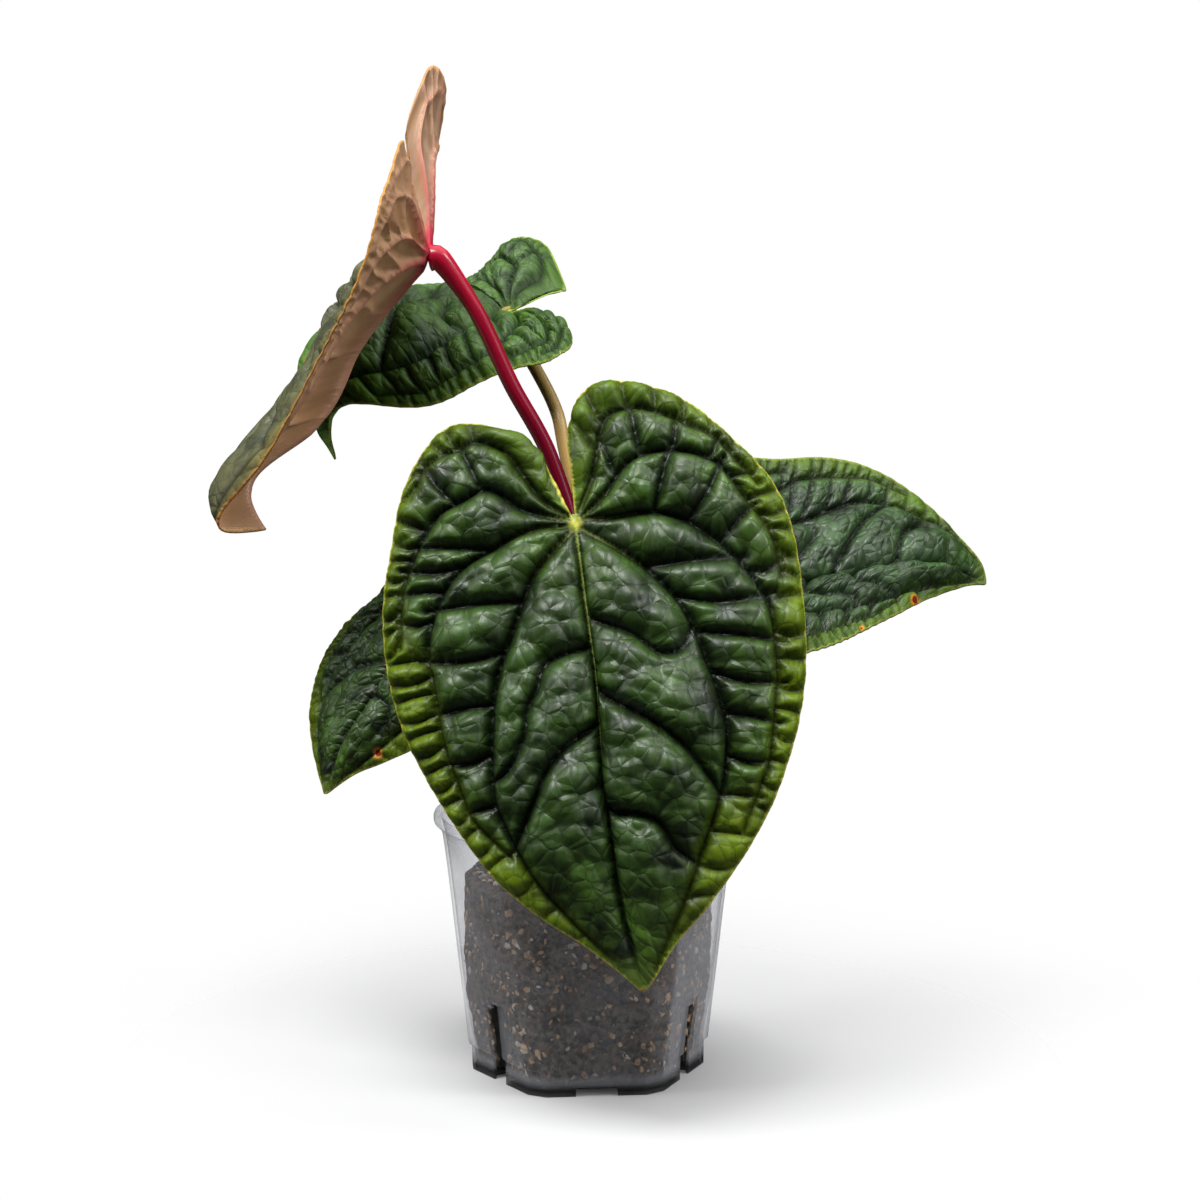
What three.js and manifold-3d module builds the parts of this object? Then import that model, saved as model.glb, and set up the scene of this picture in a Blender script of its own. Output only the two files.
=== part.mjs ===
import * as THREE from 'three';
import Module from 'manifold-3d';

// Potted anthurium luxurians: a clear nursery pot with its root ball, a short stem, five leaf
// stalks and five quilted heart-shaped blades. One unit is 1 mm and +Z is up. The origin is the
// middle of the pot's foot, where the plant stands. The front leaf faces -Y.

// Pot: a round rim that runs down into a tapered wall with six flats.
const RIM_RADIUS = 60;
const POT_HEIGHT = 102;
const LIP_HEIGHT = 4;
const WALL = 1.2;
const TOP_RADIUS = 57.6;
const MIDDLE_RADIUS = 57.1;
const SHOULDER_RADIUS = 49.5;
const SKIRT_RADIUS = 47.7;
const SKIRT_HEIGHT = 9.5;
const FLOOR_LOW = 1.2;
const FLOOR_HIGH = 2.6;
const FOOT_RADIUS = 9;
const POT_TURN = 5 * Math.PI / 180;
const CORNER_CUT = 0.965;
const RING_POINTS = 36;
const SLOT_WIDTH = 7;
const SLOT_HEIGHT = 30;
const NOTCH_WIDTH = 16;
const NOTCH_HEIGHT = 4;

// Root ball: it fills the six-sided foot of the pot and turns round further up.
const GAP = 0.3;
const SOIL_TOP = 78;
const SOIL_RADIUS = 48.2;
const SOIL_GAP = 0.7;
const SOIL_BUMP = 1.2;

// Stem and stalks.
const STEM_RADIUS = 9;
const STEM_FOOT = 70;
const STEM_TOP = 93;
const STALK_SIDES = 8;

// Blade thickness, and the height of the quilted panels on a blade 167 mm long.
const BLADE = 1;
const PANEL_HEIGHT = 3;

const wasm = await Module();
wasm.setup();

// Small vector helpers for plain [x, y, z] lists.
const add = (a, b, k = 1) => a.map((value, i) => value + k * b[i]);
const mix = (a, b, t) => a.map((value, i) => value + t * (b[i] - value));
const dot = (a, b) => a[0] * b[0] + a[1] * b[1] + a[2] * b[2];
const cross = (a, b) => [
  a[1] * b[2] - a[2] * b[1],
  a[2] * b[0] - a[0] * b[2],
  a[0] * b[1] - a[1] * b[0],
];
const unit = (a) => {
  const length = Math.hypot(...a);
  return a.map((value) => value / length);
};

// A smooth curve through control points, with the same number of steps in each span.
function curve(points, steps) {
  const out = [];
  for (let i = 0; i + 1 < points.length; i += 1) {
    const b = points[i];
    const c = points[i + 1];
    const a = points[i - 1] ?? mix(c, b, 2);
    const d = points[i + 2] ?? mix(b, c, 2);
    for (let k = 0; k < steps; k += 1) {
      const t = k / steps;
      out.push(b.map((value, j) => 0.5 * (2 * value + (c[j] - a[j]) * t
        + (2 * a[j] - 5 * value + 4 * c[j] - d[j]) * t * t
        + (3 * value - a[j] - 3 * c[j] + d[j]) * t * t * t)));
    }
  }
  out.push(points[points.length - 1]);
  return out;
}

// Points spaced evenly along a line, about one spacing apart.
function spaced(line, spacing) {
  const run = [0];
  for (let i = 1; i < line.length; i += 1) {
    run.push(run[i - 1] + Math.hypot(...add(line[i], line[i - 1], -1)));
  }
  const total = run[run.length - 1];
  const count = Math.max(1, Math.round(total / spacing));
  const out = [];
  let i = 0;
  for (let k = 0; k <= count; k += 1) {
    const want = total * k / count;
    while (i < run.length - 2 && run[i + 1] < want) i += 1;
    out.push(mix(line[i], line[i + 1], (want - run[i]) / (run[i + 1] - run[i])));
  }
  return out;
}

function meshFrom(name, points, faces, color) {
  const geometry = new THREE.BufferGeometry();
  geometry.setAttribute('position', new THREE.Float32BufferAttribute(points.flat(), 3));
  geometry.setIndex(faces.flat());
  geometry.computeVertexNormals();
  const material = new THREE.MeshStandardMaterial({ color, roughness: 0.5 });
  const mesh = new THREE.Mesh(geometry, material);
  mesh.name = name;
  return mesh;
}

function solid(points, faces) {
  const data = new wasm.Mesh({
    numProp: 3,
    vertProperties: new Float32Array(points.flat()),
    triVerts: new Uint32Array(faces.flat()),
  });
  data.merge();
  return new wasm.Manifold(data);
}

function meshFromSolid(name, body, color) {
  const data = body.getMesh();
  const points = [];
  for (let i = 0; i < data.numVert; i += 1) {
    const at = i * data.numProp;
    points.push([...data.vertProperties.slice(at, at + 3)]);
  }
  const faces = [];
  for (let i = 0; i < data.numTri; i += 1) {
    faces.push([...data.triVerts.slice(3 * i, 3 * i + 3)]);
  }
  return meshFrom(name, points, faces, color);
}

// A closed body through a stack of rings that all have the same number of points.
function loft(rings) {
  const count = rings[0].length;
  const points = rings.flat();
  const faces = [];
  for (let r = 0; r + 1 < rings.length; r += 1) {
    for (let i = 0; i < count; i += 1) {
      const j = (i + 1) % count;
      const low = r * count;
      const high = low + count;
      faces.push([low + i, low + j, high + j], [low + i, high + j, high + i]);
    }
  }
  const middle = (ring) => ring.reduce((sum, p) => add(sum, p), [0, 0, 0])
    .map((value) => value / count);
  const start = points.length;
  points.push(middle(rings[0]), middle(rings[rings.length - 1]));
  const last = (rings.length - 1) * count;
  for (let i = 0; i < count; i += 1) {
    const j = (i + 1) % count;
    faces.push([start, j, i], [start + 1, last + i, last + j]);
  }
  return { points, faces };
}

function loftSolid(rings) {
  const { points, faces } = loft(rings);
  return solid(points, faces);
}

// Pot ring at one height: `flatness` 0 is a circle, 1 a hexagon with eased corners.
function potRing(z, radius, flatness) {
  const ring = [];
  for (let i = 0; i < RING_POINTS; i += 1) {
    const angle = i * 2 * Math.PI / RING_POINTS;
    const sixth = Math.PI / 3;
    const inside = ((angle % sixth) + sixth) % sixth - sixth / 2;
    const flat = Math.cos(Math.PI / 6) / Math.cos(inside);
    const reach = radius * (1 + flatness * (Math.min(flat, CORNER_CUT) - 1));
    ring.push([
      reach * Math.cos(angle + POT_TURN),
      reach * Math.sin(angle + POT_TURN),
      z,
    ]);
  }
  return ring;
}

// The pot's inner wall up to its middle: height, radius and flatness of each ring.
const INNER_LEVELS = [
  [FLOOR_HIGH, SKIRT_RADIUS - 1.4, 1],
  [SKIRT_HEIGHT + 1, SKIRT_RADIUS - 0.6, 1],
  [80, MIDDLE_RADIUS - WALL, 0.85],
];

function innerRing(z) {
  const k = z < INNER_LEVELS[1][0] ? 0 : 1;
  const [below, above] = [INNER_LEVELS[k], INNER_LEVELS[k + 1]];
  const t = Math.min(1, (z - below[0]) / (above[0] - below[0]));
  const upper = potRing(z, above[1], above[2]);
  return potRing(z, below[1], below[2]).map((p, i) => mix(p, upper[i], t));
}

function box(width, depth, height, x, y, z) {
  const geometry = new THREE.BoxGeometry(width, depth, height);
  geometry.translate(x, y, z);
  const data = geometry.toNonIndexed().attributes.position.array;
  const points = [];
  for (let i = 0; i < data.length; i += 3) points.push([...data.slice(i, i + 3)]);
  const faces = [];
  for (let i = 0; i < points.length; i += 3) faces.push([i, i + 1, i + 2]);
  return solid(points, faces);
}

// The clear pot: wall, rolled rim, floor above a skirt, foot, side slots and front and back notches.
function pot() {
  const under = POT_HEIGHT - LIP_HEIGHT;
  const outer = loftSolid([
    potRing(0, SKIRT_RADIUS, 1),
    potRing(SKIRT_HEIGHT, SKIRT_RADIUS, 1),
    potRing(SKIRT_HEIGHT + 1, SHOULDER_RADIUS, 1),
    potRing(80, MIDDLE_RADIUS, 0.85),
    potRing(under - 4, TOP_RADIUS - 0.3, 0.4),
    potRing(under, TOP_RADIUS + 0.2, 0),
    potRing(under + 1, RIM_RADIUS - 0.3, 0),
    potRing(POT_HEIGHT - 1.2, RIM_RADIUS, 0),
    potRing(POT_HEIGHT, RIM_RADIUS - 0.8, 0),
  ]);
  const hollow = loftSolid([
    ...INNER_LEVELS.map(([z, radius, flatness]) => potRing(z, radius, flatness)),
    potRing(under - 4, TOP_RADIUS - 0.3 - WALL, 0.4),
    potRing(under + 1, TOP_RADIUS - WALL, 0),
    potRing(POT_HEIGHT - 1, RIM_RADIUS - 3.6, 0),
    potRing(POT_HEIGHT + 1, RIM_RADIUS - 2.6, 0),
  ]);
  const recess = loftSolid([
    potRing(-1, SKIRT_RADIUS - 1.4, 1),
    potRing(FLOOR_LOW, SKIRT_RADIUS - 1.6, 1),
  ]);
  let body = outer.subtract(hollow).subtract(recess);
  const foot = (z) => {
    const ring = [];
    for (let i = 0; i < 24; i += 1) {
      const angle = i * Math.PI / 12;
      ring.push([FOOT_RADIUS * Math.cos(angle), FOOT_RADIUS * Math.sin(angle), z]);
    }
    return ring;
  };
  body = body.add(loftSolid([foot(0), foot(FLOOR_LOW + 0.5)]));
  const reach = SKIRT_RADIUS * Math.cos(Math.PI / 6);
  for (const step of [0, 2, 3, 5]) {
    const angle = 30 + 60 * step + 5;
    const slot = box(12, SLOT_WIDTH, SLOT_HEIGHT + 1, reach - 1, 0, SLOT_HEIGHT / 2 - 0.5)
      .add(box(12, SLOT_WIDTH / 2, 4, reach - 1, SLOT_WIDTH / 4, SLOT_HEIGHT));
    body = body.subtract(slot.rotate([0, 0, angle]));
  }
  for (const step of [1, 4]) {
    const angle = 30 + 60 * step + 5;
    const notch = box(12, NOTCH_WIDTH, NOTCH_HEIGHT, reach, 0, NOTCH_HEIGHT / 2 - 0.5);
    body = body.subtract(notch.rotate([0, 0, angle]));
  }
  return body;
}

// The root ball: pressed against the wall below, with an uneven top, eased edges and a plain hole
// for the stem.
function substrate() {
  const ring = (radius, z, bump) => innerRing(z).map(([x, y]) => {
    const angle = Math.atan2(y, x);
    const wave = Math.sin(5 * angle + 0.17 * radius) * Math.cos(3 * angle - 0.31 * radius);
    const reach = Math.min(radius, Math.hypot(x, y) - SOIL_GAP);
    return [reach * Math.cos(angle), reach * Math.sin(angle), z + bump * SOIL_BUMP * wave];
  });
  const body = loftSolid([
    ring(SKIRT_RADIUS - 8, FLOOR_HIGH + GAP, 0),
    ring(SOIL_RADIUS, FLOOR_HIGH + 2, 0),
    ring(SOIL_RADIUS, SKIRT_HEIGHT + 1, 0),
    ring(SOIL_RADIUS, 25, 0),
    ring(SOIL_RADIUS, 42, 0),
    ring(SOIL_RADIUS, 60, 0),
    ring(SOIL_RADIUS, SOIL_TOP - 3, 0),
    ring(SOIL_RADIUS - 2, SOIL_TOP - 1, 0.5),
    ring(36, SOIL_TOP, 1),
    ring(24, SOIL_TOP + 1, 1),
    ring(13, SOIL_TOP + 2, 0.5),
  ]);
  const hole = loftSolid([
    ring(STEM_RADIUS + GAP, STEM_FOOT - GAP, 0),
    ring(STEM_RADIUS + GAP, SOIL_TOP + 8, 0),
  ]);
  return body.subtract(hole);
}

// The stem: a short knobbly stub. `grow` swells it, for the clearance the stalks are cut to.
function stem(grow) {
  const sides = 20;
  const levels = [
    [STEM_FOOT, 8.2], [74, 9], [80, 9], [84, 8.6], [88, 8.8], [91, 7.2], [STEM_TOP, 3.5],
  ];
  return loftSolid(levels.map(([z, radius], k) => {
    const height = k === levels.length - 1 ? z + grow : z;
    const out = [];
    for (let i = 0; i < sides; i += 1) {
      const angle = i * 2 * Math.PI / sides;
      const knob = z > 81 ? 0.35 * Math.sin(5 * angle + k) - 0.35 : 0;
      const reach = radius + grow + knob;
      out.push([reach * Math.cos(angle), reach * Math.sin(angle), height]);
    }
    return out;
  }));
}

// A stalk along a smooth path. Radii are given at its foot, its middle and its swollen top joint.
function stalk(path, radii) {
  const line = spaced(curve(path, 8), 7);
  let side = unit(cross(add(line[1], line[0], -1), [0.9, 0.1, 0.3]));
  const rings = line.map((p, i) => {
    const ahead = line[Math.min(i + 1, line.length - 1)];
    const behind = line[Math.max(i - 1, 0)];
    const along = unit(add(ahead, behind, -1));
    side = unit(add(side, along, -dot(side, along)));
    const other = cross(along, side);
    const t = i / (line.length - 1);
    const joint = Math.max(0, 1 - (1 - t) * 9);
    const radius = radii[0] + (radii[1] - radii[0]) * Math.min(1, 2 * t)
      + (radii[2] - radii[1]) * joint;
    const ring = [];
    for (let k = 0; k < STALK_SIDES; k += 1) {
      const angle = k * 2 * Math.PI / STALK_SIDES;
      ring.push(add(add(p, side, radius * Math.cos(angle)), other, radius * Math.sin(angle)));
    }
    return ring;
  });
  return loftSolid(rings);
}

// Leaf plan, in mm on a blade 167 mm long. The stalk joins at 0, 0; the first number runs to the
// right as the upper face is looked at with the tip down, the second runs down to the tip.
const PLAN_LENGTH = 167;
const RIGHT_EDGE = [
  [1, -30], [3, -37], [11, -48], [24, -49], [43, -40], [59, -23], [71, -5], [76, 13], [77, 35],
  [75, 57], [70, 78], [61, 99], [48, 119], [34, 135], [20, 147], [9, 159], [3, 165], [0, 167],
];
const LEFT_EDGE = [
  [-8, -21], [-13, -29], [-19, -36], [-26, -41], [-39, -41], [-50, -34], [-60, -21], [-67, -1],
  [-73, 21], [-74, 45], [-70, 69], [-59, 97], [-47, 121], [-34, 136], [-18, 149], [-7, 160],
  [-2, 166], [0, 167],
];
// Plan positions of the ten edge marks each blade is placed by, from the lobe to the tip.
const RIGHT_MARKS = [
  [1, -30], [11, -48], [33, -46], [59, -23], [76, 13], [77, 46], [66, 89], [41, 128], [14, 153],
  [0, 167],
];
const LEFT_MARKS = [
  [-8, -21], [-26, -41], [-39, -41], [-60, -21], [-73, 21], [-74, 45], [-61, 92], [-41, 129],
  [-18, 149], [0, 167],
];
// Main veins, all from the stalk joint.
const MIDRIB = [[0, 0], [0, 18], [0, 36], [1, 54], [1, 90], [2, 108], [1, 124], [0, 140], [0, 167]];
const L1 = [[-1, 2], [-10, 10], [-18, 18], [-26, 34], [-34, 51], [-38, 71], [-40, 90], [-39, 101],
  [-32, 122], [-22, 138], [-8, 156]];
const L2 = [[-2, 1], [-13, 0], [-23, 2], [-32, 6], [-41, 10], [-48, 16], [-54, 26], [-57, 34],
  [-58, 42], [-57, 52], [-56, 71], [-52, 90], [-49, 101], [-38, 116]];
const L3 = [[-2, -1], [-10, -4], [-19, -8], [-26, -14], [-32, -16], [-40, -13], [-48, -10],
  [-55, -2], [-63, 12], [-66, 22], [-68, 36]];
const L4 = [[-2, -2], [-10, -9], [-17, -20], [-22, -28], [-28, -32], [-33, -33], [-37, -31],
  [-45, -30], [-52, -26], [-55, -21]];
const R1 = [[2, 2], [12, 8], [22, 15], [31, 24], [38, 35], [42, 47], [46, 60], [48, 72], [47, 84],
  [44, 96], [38, 110], [27, 132], [10, 156]];
const R2 = [[3, -1], [14, 0], [26, 0], [37, 4], [46, 10], [55, 18], [61, 25], [65, 33], [66, 51],
  [65, 62], [62, 82], [58, 92], [50, 109]];
const R3 = [[3, -2], [11, -8], [18, -16], [24, -20], [32, -21], [40, -20], [48, -17], [54, -12],
  [61, 1], [68, 13], [70, 24]];
const R4 = [[2, -4], [8, -16], [12, -28], [16, -36], [22, -38], [30, -37], [43, -30], [54, -22],
  [66, -4]];
// Side veins of the midrib, which fan out between it and the first pair of main veins.
const SIDE_VEINS = [
  [[0, 32], [9, 36], [18, 40], [26, 46], [34, 44], [38, 36]],
  [[2, 58], [14, 65], [22, 70], [32, 78], [40, 89], [44, 96]],
  [[0, 44], [-16, 48], [-21, 58], [-25, 65], [-26, 72], [-30, 80], [-35, 86], [-40, 88]],
  [[1, 71], [-12, 78], [-20, 86], [-24, 94], [-30, 104], [-36, 113]],
  [[2, 101], [14, 101], [22, 105], [26, 114], [32, 120]],
];
// Rungs between two veins, or a vein and the edge: how many, and where they start and end on each.
const RUNGS = [
  [R1, R2, 7, 0.13, 0.62, 0.37, 0.91], [R1, RIGHT_EDGE, 3, 0.7, 0.91, 0.74, 0.87],
  [R2, R3, 4, 0.16, 0.4, 0.4, 0.97], [R2, RIGHT_EDGE, 6, 0.47, 0.93, 0.458, 0.705],
  [R3, R4, 5, 0.18, 0.65, 0.27, 0.95], [R3, RIGHT_EDGE, 3, 0.75, 0.99, 0.35, 0.447],
  [R4, RIGHT_EDGE, 5, 0.22, 0.95, 0.028, 0.31], [L1, L2, 5, 0.185, 0.61, 0.385, 0.86],
  [L1, LEFT_EDGE, 3, 0.71, 0.92, 0.76, 0.895], [L2, L3, 4, 0.19, 0.41, 0.64, 0.91],
  [L2, LEFT_EDGE, 7, 0.495, 0.94, 0.473, 0.738], [L3, L4, 2, 0.33, 0.427, 0.694, 0.9],
  [L3, LEFT_EDGE, 5, 0.576, 0.984, 0.288, 0.465], [L4, LEFT_EDGE, 4, 0.63, 0.99, 0.127, 0.26],
];

const MAIN_VEINS = [MIDRIB, L1, L2, L3, L4, R1, R2, R3, R4].map((line) => curve(line, 6));
const MINOR_VEINS = SIDE_VEINS.map((line) => curve(line, 4));
for (const [from, to, count, a0, a1, b0, b1] of RUNGS) {
  const a = spaced(curve(from, 6), 1);
  const b = spaced(curve(to, 6), 1);
  for (let k = 0; k < count; k += 1) {
    const t = k / (count - 1);
    const start = a[Math.round((a0 + (a1 - a0) * t) * (a.length - 1))];
    const end = b[Math.round((b0 + (b1 - b0) * t) * (b.length - 1))];
    const middle = mix(start, end, 0.5);
    middle[1] += k % 2 ? 1.5 : -0.5;
    MINOR_VEINS.push(curve([start, middle, end], 4));
  }
}

const OUTLINE_LINES = [
  [[0, 0], LEFT_EDGE[0]], curve(LEFT_EDGE, 3), curve(RIGHT_EDGE, 3).reverse(),
  [RIGHT_EDGE[0], [0, 0]],
];
function outline(spacing) {
  const out = [];
  for (const line of OUTLINE_LINES) out.push(...spaced(line, spacing).slice(0, -1));
  return out;
}
function within(loop, x, y) {
  let inside = false;
  for (let i = 0, j = loop.length - 1; i < loop.length; j = i, i += 1) {
    const [ax, ay] = loop[i];
    const [bx, by] = loop[j];
    if ((ay > y) !== (by > y) && x < (bx - ax) * (y - ay) / (by - ay) + ax) inside = !inside;
  }
  return inside;
}

// Quilting by formula: a skin held down along the veins and pushed up evenly between them, solved
// on a 1 mm grid. Its root gives each panel a full crown and a sharp crease.
const GRID = { x: -80, y: -55, width: 161, height: 226 };
function pillows(lines, rounds) {
  const { x, y, width, height } = GRID;
  const loop = outline(4);
  const free = new Uint8Array(width * height);
  for (let i = 0; i < height; i += 1) {
    for (let j = 0; j < width; j += 1) free[i * width + j] = within(loop, x + j, y + i) ? 1 : 0;
  }
  for (const line of lines) {
    for (const [px, py] of spaced(line, 0.5)) {
      free[Math.round(py - y) * width + Math.round(px - x)] = 0;
    }
  }
  const lift = new Float64Array(width * height);
  for (let round = 0; round < rounds; round += 1) {
    for (let i = 1; i < height - 1; i += 1) {
      for (let j = 1; j < width - 1; j += 1) {
        const at = i * width + j;
        if (!free[at]) continue;
        const mean = (lift[at - 1] + lift[at + 1] + lift[at - width] + lift[at + width]) / 4;
        lift[at] += 1.85 * (mean + 0.02 - lift[at]);
      }
    }
  }
  const top = lift.reduce((a, b) => Math.max(a, b), 0);
  return lift.map((value) => Math.sqrt(Math.max(0, value) / top));
}
const WIDE_PILLOWS = pillows(MAIN_VEINS, 150);
const SMALL_PILLOWS = pillows([...MAIN_VEINS, ...MINOR_VEINS], 120);
function sample(field, [px, py]) {
  const { x, y, width } = GRID;
  const i = Math.floor(py - y);
  const j = Math.floor(px - x);
  const s = px - x - j;
  const t = py - y - i;
  const at = i * width + j;
  return (field[at] * (1 - s) + field[at + 1] * s) * (1 - t)
    + (field[at + width] * (1 - s) + field[at + width + 1] * s) * t;
}
const quilt = (p) => sample(WIDE_PILLOWS, p) + sample(SMALL_PILLOWS, p);

// Delaunay triangles of scattered plan points, added one at a time.
function triangulate(points) {
  const all = [...points, [-2000, -1500], [2000, -1500], [0, 3000]];
  const circle = (a, b, c) => {
    const [ax, ay] = all[a];
    const [bx, by] = all[b];
    const [cx, cy] = all[c];
    const d = 2 * (ax * (by - cy) + bx * (cy - ay) + cx * (ay - by));
    const aa = ax * ax + ay * ay;
    const bb = bx * bx + by * by;
    const cc = cx * cx + cy * cy;
    const x = (aa * (by - cy) + bb * (cy - ay) + cc * (ay - by)) / d;
    const y = (aa * (cx - bx) + bb * (ax - cx) + cc * (bx - ax)) / d;
    return { a, b, c, x, y, r: (ax - x) ** 2 + (ay - y) ** 2 };
  };
  const n = points.length;
  let list = [circle(n, n + 1, n + 2)];
  for (let p = 0; p < n; p += 1) {
    const [px, py] = all[p];
    const edges = new Map();
    const keep = [];
    for (const t of list) {
      if ((px - t.x) ** 2 + (py - t.y) ** 2 >= t.r) {
        keep.push(t);
        continue;
      }
      for (const [u, v] of [[t.a, t.b], [t.b, t.c], [t.c, t.a]]) {
        if (edges.has(`${v},${u}`)) edges.delete(`${v},${u}`);
        else edges.set(`${u},${v}`, [u, v]);
      }
    }
    for (const [u, v] of edges.values()) keep.push(circle(u, v, p));
    list = keep;
  }
  return list.filter((t) => t.a < n && t.b < n && t.c < n).map((t) => [t.a, t.b, t.c]);
}

// Plan triangles for one spacing: points on the edge, then on the veins, then on the panels.
function planMesh(spacing) {
  const points = outline(spacing);
  const loop = [...points];
  const far = (p, reach) => points.every((q) => Math.hypot(p[0] - q[0], p[1] - q[1]) > reach);
  for (const line of [...MAIN_VEINS, ...MINOR_VEINS]) {
    for (const p of spaced(line, spacing)) {
      if (within(loop, ...p) && far(p, spacing * 0.55)) points.push(p);
    }
  }
  const row = spacing * 0.87;
  for (let k = 0; k * row < 224; k += 1) {
    for (let x = -80 + (k % 2) * spacing / 2; x < 80; x += spacing) {
      const p = [x + 0.4 * Math.sin(3 * k + x), -54 + k * row + 0.4 * Math.cos(2 * x)];
      if (within(loop, ...p) && far(p, spacing * 0.62)) points.push(p);
    }
  }
  const faces = triangulate(points).filter(([a, b, c]) => {
    const x = (points[a][0] + points[b][0] + points[c][0]) / 3;
    const y = (points[a][1] + points[b][1] + points[c][1]) / 3;
    return within(loop, x, y);
  });
  return { points, faces };
}

// How a blade lies: the plan is carried over by spokes from the stalk joint to the edge marks and
// bent so its midrib passes three given points. Gives the place and normal of any plan point, the
// normal on the upper side.
function lay({ joint, midrib, right, left, sides, up }) {
  const tip = right[right.length - 1];
  const upward = unit(up);
  const spokes = [];
  const gather = (marks, places) => {
    const plan = curve(marks, 10);
    const edge = curve(places, 10);
    return plan.map((p, i) => [Math.atan2(p[0], p[1]), Math.hypot(...p), edge[i]]);
  };
  spokes.push(...gather(LEFT_MARKS, left), ...gather(RIGHT_MARKS, right).reverse().slice(1));
  for (let i = 1; i < spokes.length; i += 1) {
    if (spokes[i][0] <= spokes[i - 1][0]) spokes[i][0] = spokes[i - 1][0] + 1e-4;
  }
  const stations = [0, 1 / 3, 2 / 3, 0.87, 1];
  const bends = [[0, 0, 0]];
  midrib.forEach((place, i) => {
    const q = stations[i + 1];
    bends.push(add(place, mix(joint, tip, q), -1).map((value) => value / (1 - q * q)));
  });
  bends.push(mix(bends[2], bends[3], 1.4));
  const bendLine = curve(bends, 8);
  const bend = (v) => {
    const q = Math.min(1, Math.max(0, v / PLAN_LENGTH));
    let span = 0;
    while (span < 3 && q > stations[span + 1]) span += 1;
    const t = 8 * (span + (q - stations[span]) / (stations[span + 1] - stations[span]));
    const at = Math.min(31, Math.floor(t));
    return mix(bendLine[at], bendLine[at + 1], t - at);
  };
  const base = ([u, v]) => {
    const first = spokes[0][0];
    const last = spokes[spokes.length - 1][0];
    const angle = Math.min(last, Math.max(first, Math.atan2(u, v)));
    let i = 0;
    while (i < spokes.length - 2 && spokes[i + 1][0] < angle) i += 1;
    const [a, ra, ea] = spokes[i];
    const [b, rb, eb] = spokes[i + 1];
    const t = (angle - a) / (b - a);
    const q = Math.min(1.2, Math.hypot(u, v) / (ra + t * (rb - ra)));
    const turn = Math.abs(Math.sin(Math.min(1.9, Math.max(-1.9, angle))));
    const swell = 6.75 * q * q * (1 - q) * (angle > 0 ? sides[0] : sides[1]) * turn;
    const flat = mix(joint, mix(ea, eb, t), q);
    return add(add(flat, upward, swell), bend(v), 1 - q * q);
  };
  return ([u, v]) => {
    const across = add(base([u + 0.5, v]), base([u - 0.5, v]), -1);
    const down = add(base([u, v + 0.5]), base([u, v - 0.5]), -1);
    return { place: base([u, v]), face: unit(cross(down, across)) };
  };
}

// A blade, quilted along its own normal, with both faces split alike. `grow` thickens it, for the
// clearance its stalk is cut to.
function blade(spec, grow = 0) {
  const at = lay(spec);
  const plan = planMesh(spec.spacing);
  const upper = [];
  const lower = [];
  for (const p of plan.points) {
    const { place, face } = at(p);
    const lift = spec.relief * quilt(p);
    upper.push(add(place, face, lift + grow));
    lower.push(add(place, face, lift - BLADE - grow));
  }
  const n = upper.length;
  const faces = [];
  const open = new Map();
  for (const [a, b, c] of plan.faces) {
    faces.push([a, b, c], [n + a, n + c, n + b]);
    for (const [u, v] of [[a, b], [b, c], [c, a]]) {
      if (open.has(`${v},${u}`)) open.delete(`${v},${u}`);
      else open.set(`${u},${v}`, [u, v]);
    }
  }
  for (const [u, v] of open.values()) faces.push([v, u, n + u], [v, n + u, n + v]);
  const points = [...upper, ...lower];
  let volume = 0;
  for (const [a, b, c] of faces) volume += dot(points[a], cross(points[b], points[c]));
  return { points, faces: volume < 0 ? faces.map(([a, b, c]) => [a, c, b]) : faces };
}

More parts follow.
